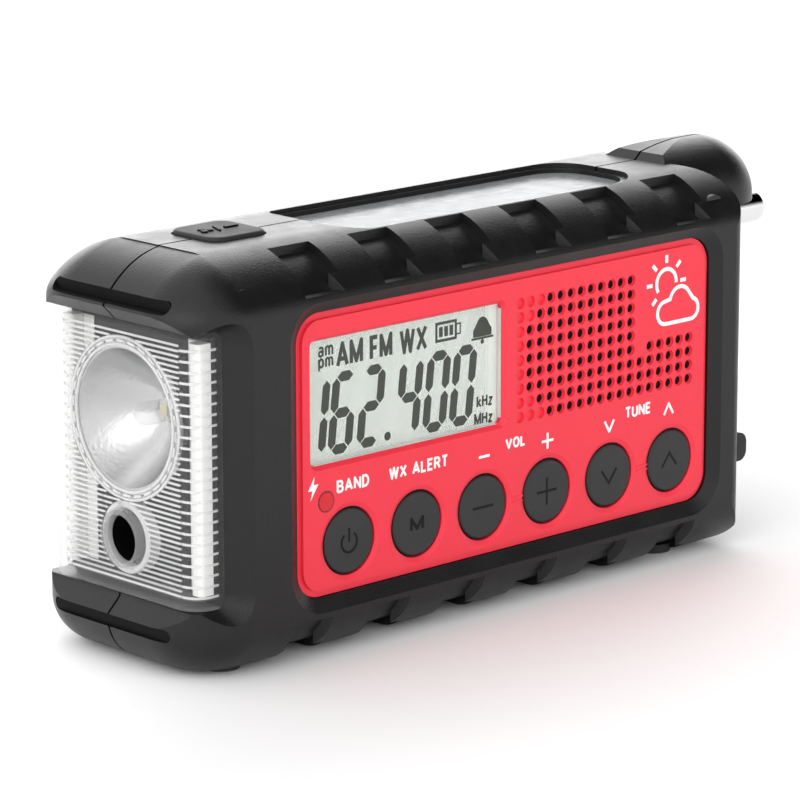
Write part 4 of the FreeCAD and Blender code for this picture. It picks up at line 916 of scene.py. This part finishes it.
# The cloth steps down under the weather sign: it is full height left of CLOTH_STEP.
CLOTH_LEFT, CLOTH_STEP, CLOTH_RIGHT = 14.5, 51.3, 67.3
CLOTH_BOTTOM, CLOTH_SHOULDER, CLOTH_TOP = 39.6, 51.1, 67.0
CLOTH_CORNER = 0.6
CLOTH_DEPTH, CLOTH_INSET = 0.4, 1.5
GRID_CENTRE = (39.3, 53.3)
HOLE_PITCH = 3.175
GRID_COLUMNS, GRID_ROWS = 18, 9
# From this column on, the grid's first rows give way to the weather sign.
SIGN_COLUMN, SIGN_ROWS = 13, 5
BLIND_BY_ROW = (3, 2, 1, 1, 1, 1, 1, 2, 3)      # first holes of each row that are closed
# The plugs are painted shade that darkens each open hole.
PLUG_RADIUS, PLUG_DEPTH, PLUG_INSET = 0.92, 0.44, 1.09


def is_open_hole(column, row):
    """Whether the panel's grid has an open hole there; rows count from the top."""
    under_sign = column >= SIGN_COLUMN and row < SIGN_ROWS
    beside_sign = column == SIGN_COLUMN - 1 and row <= SIGN_ROWS
    return column >= BLIND_BY_ROW[row] and not under_sign and not beside_sign


def make_speaker_cloth():
    """Black cloth in the thinned back of the panel, behind the speaker holes."""
    left, step, right = CLOTH_LEFT, CLOTH_STEP, CLOTH_RIGHT
    bottom, shoulder, top, c = CLOTH_BOTTOM, CLOTH_SHOULDER, CLOTH_TOP, CLOTH_CORNER
    outline = [(left, bottom + c), (left + c, bottom), (right - c, bottom), (right, bottom + c),
               (right, shoulder - c), (right - c, shoulder), (step, shoulder), (step, top - c),
               (step - c, top), (left + c, top), (left, top - c)]
    prisms("speaker_cloth", [outline], CLOTH_DEPTH, on_front(PANEL_PLANE + CLOTH_INSET),
           deep_black_and_shade, "casing")


def make_hole_shade():
    """Black plugs in each open hole, a little behind the panel's face: painted shade that darkens
    the holes' walls, over the black cloth behind.
    """
    first_x = GRID_CENTRE[0] - (GRID_COLUMNS - 1) / 2 * HOLE_PITCH
    first_z = GRID_CENTRE[1] + (GRID_ROWS - 1) / 2 * HOLE_PITCH
    plugs = [disc((first_x + column * HOLE_PITCH, first_z - row * HOLE_PITCH), PLUG_RADIUS, 16)
             for column in range(GRID_COLUMNS) for row in range(GRID_ROWS)
             if is_open_hole(column, row)]
    prisms("hole_shade_plugs", plugs, PLUG_DEPTH, on_front(PANEL_PLANE + PLUG_INSET), deep_black_and_shade,
           "casing")


# Painted shade on each slot's floor: its name, the heights it spans and how deep its face lies.
SLOT_SHADES = (("lower_slot_shade", 6.95, 9.65, 1.35), ("upper_slot_shade", 76.05, 78.65, 3.15))
SLOT_HALF_WIDTH = 18.4
SLOT_SHADE_DEPTH = 0.3


def make_slot_shades():
    """Painted shade: a black sheet, darker and less glossy than the casing, on the floor of each
    bumper's end slot.
    """
    left = case_box("front_housing")[0][0]
    for name, low, high, inset in SLOT_SHADES:
        radius = (high - low) / 2
        middle, straight = (low + high) / 2, SLOT_HALF_WIDTH - radius
        loop = (arc(straight, middle, radius, radius, -90, 90)
                + arc(-straight, middle, radius, radius, 90, 270))
        prisms(name, [loop], SLOT_SHADE_DEPTH, on_end(left + inset), deep_black_and_shade, "casing")


# ---------------------------------------------------------------- studio

STUDIO_LEVEL = 1.36
# Directions the studio is darker or brighter in, each with the cosines where the change
# starts and is complete, and how much it adds.
STUDIO_PATCHES = (((0.669, -0.233, 0.705), 0.72, 0.90, -1.40),
                  ((0.66, 0.70, 0.28), 0.78, 0.95, 2.20),
                  ((-0.90, -0.30, 0.50), 0.80, 0.95, 1.20))


def make_world():
    """Even white surroundings with a few soft darker and brighter patches."""
    world = bpy.data.worlds.new("studio")
    bpy.context.scene.world = world
    world.use_nodes = True
    tree = world.node_tree
    coordinates = tree.nodes.new("ShaderNodeTexCoord")
    level = None
    for direction, start, full, change in STUDIO_PATCHES:
        dot = tree.nodes.new("ShaderNodeVectorMath")
        dot.operation = "DOT_PRODUCT"
        dot.inputs[1].default_value = Vector(direction).normalized()
        tree.links.new(coordinates.outputs["Generated"], dot.inputs[0])
        patch = tree.nodes.new("ShaderNodeMapRange")
        patch.interpolation_type = "SMOOTHSTEP"
        patch.inputs["From Min"].default_value = start
        patch.inputs["From Max"].default_value = full
        patch.inputs["To Max"].default_value = change
        tree.links.new(dot.outputs["Value"], patch.inputs["Value"])
        total = tree.nodes.new("ShaderNodeMath")
        total.inputs[1].default_value = STUDIO_LEVEL
        tree.links.new(patch.outputs["Result"], total.inputs[0])
        if level:
            tree.links.new(level, total.inputs[1])
        level = total.outputs[0]
    tree.links.new(level, tree.nodes["Background"].inputs["Strength"])
    tree.nodes["Background"].inputs["Color"].default_value = (1, 1, 1, 1)


FLOOR_HALF = 4.0


def make_floor():
    material, tree, principled = new_shader("floor")
    shade = blend_colours(tree, noise(tree, 0.3, 2.0), (0.90, 0.90, 0.90), (0.93, 0.93, 0.93))
    tree.links.new(shade, principled.inputs["Base Color"])
    principled.inputs["Roughness"].default_value = 0.9
    mesh = bpy.data.meshes.new("floor")
    corners = rectangle(-FLOOR_HALF, -FLOOR_HALF, FLOOR_HALF, FLOOR_HALF)
    mesh.from_pydata([(x, y, 0) for x, y in corners], [], [(0, 1, 2, 3)])
    mesh.materials.append(material)
    floor = bpy.data.objects.new("floor", mesh)
    bpy.context.scene.collection.objects.link(floor)


CAMERA_AT = (-611.01, -645.77, 255.25)      # in the casing's millimetres
CAMERA_FORWARD = (0.66939, 0.70532, -0.23335)
CAMERA_UP = (0.16185, 0.16810, 0.97239)
CAMERA_LENS, CAMERA_SENSOR = 186.6, 36.0


def make_camera():
    """Seen from the torch end's front corner, a little from above."""
    camera = bpy.data.cameras.new("camera")
    camera.sensor_width = CAMERA_SENSOR
    camera.lens = CAMERA_LENS
    holder = bpy.data.objects.new("camera", camera)
    bpy.context.scene.collection.objects.link(holder)
    holder.location = case(*CAMERA_AT)
    forward = Vector(CAMERA_FORWARD)
    right = forward.cross(Vector(CAMERA_UP)).normalized()
    up = right.cross(forward).normalized()
    holder.rotation_euler = Matrix((right, up, -forward.normalized())).transposed().to_euler()
    bpy.context.scene.camera = holder


make_camera()
paint_cad_nodes()
make_display()
make_window_liner()
make_lamp_ring()
make_print()
make_panel_ridges()
make_legends()
make_button_icons()
make_lens_ribs()
make_torch_rings()
make_diffuser_wings()
make_ring_dashes()
make_sounder()
make_led()
make_speaker_cloth()
make_hole_shade()
make_slot_shades()
make_world()
make_floor()
bpy.context.scene.view_settings.view_transform = "Standard"
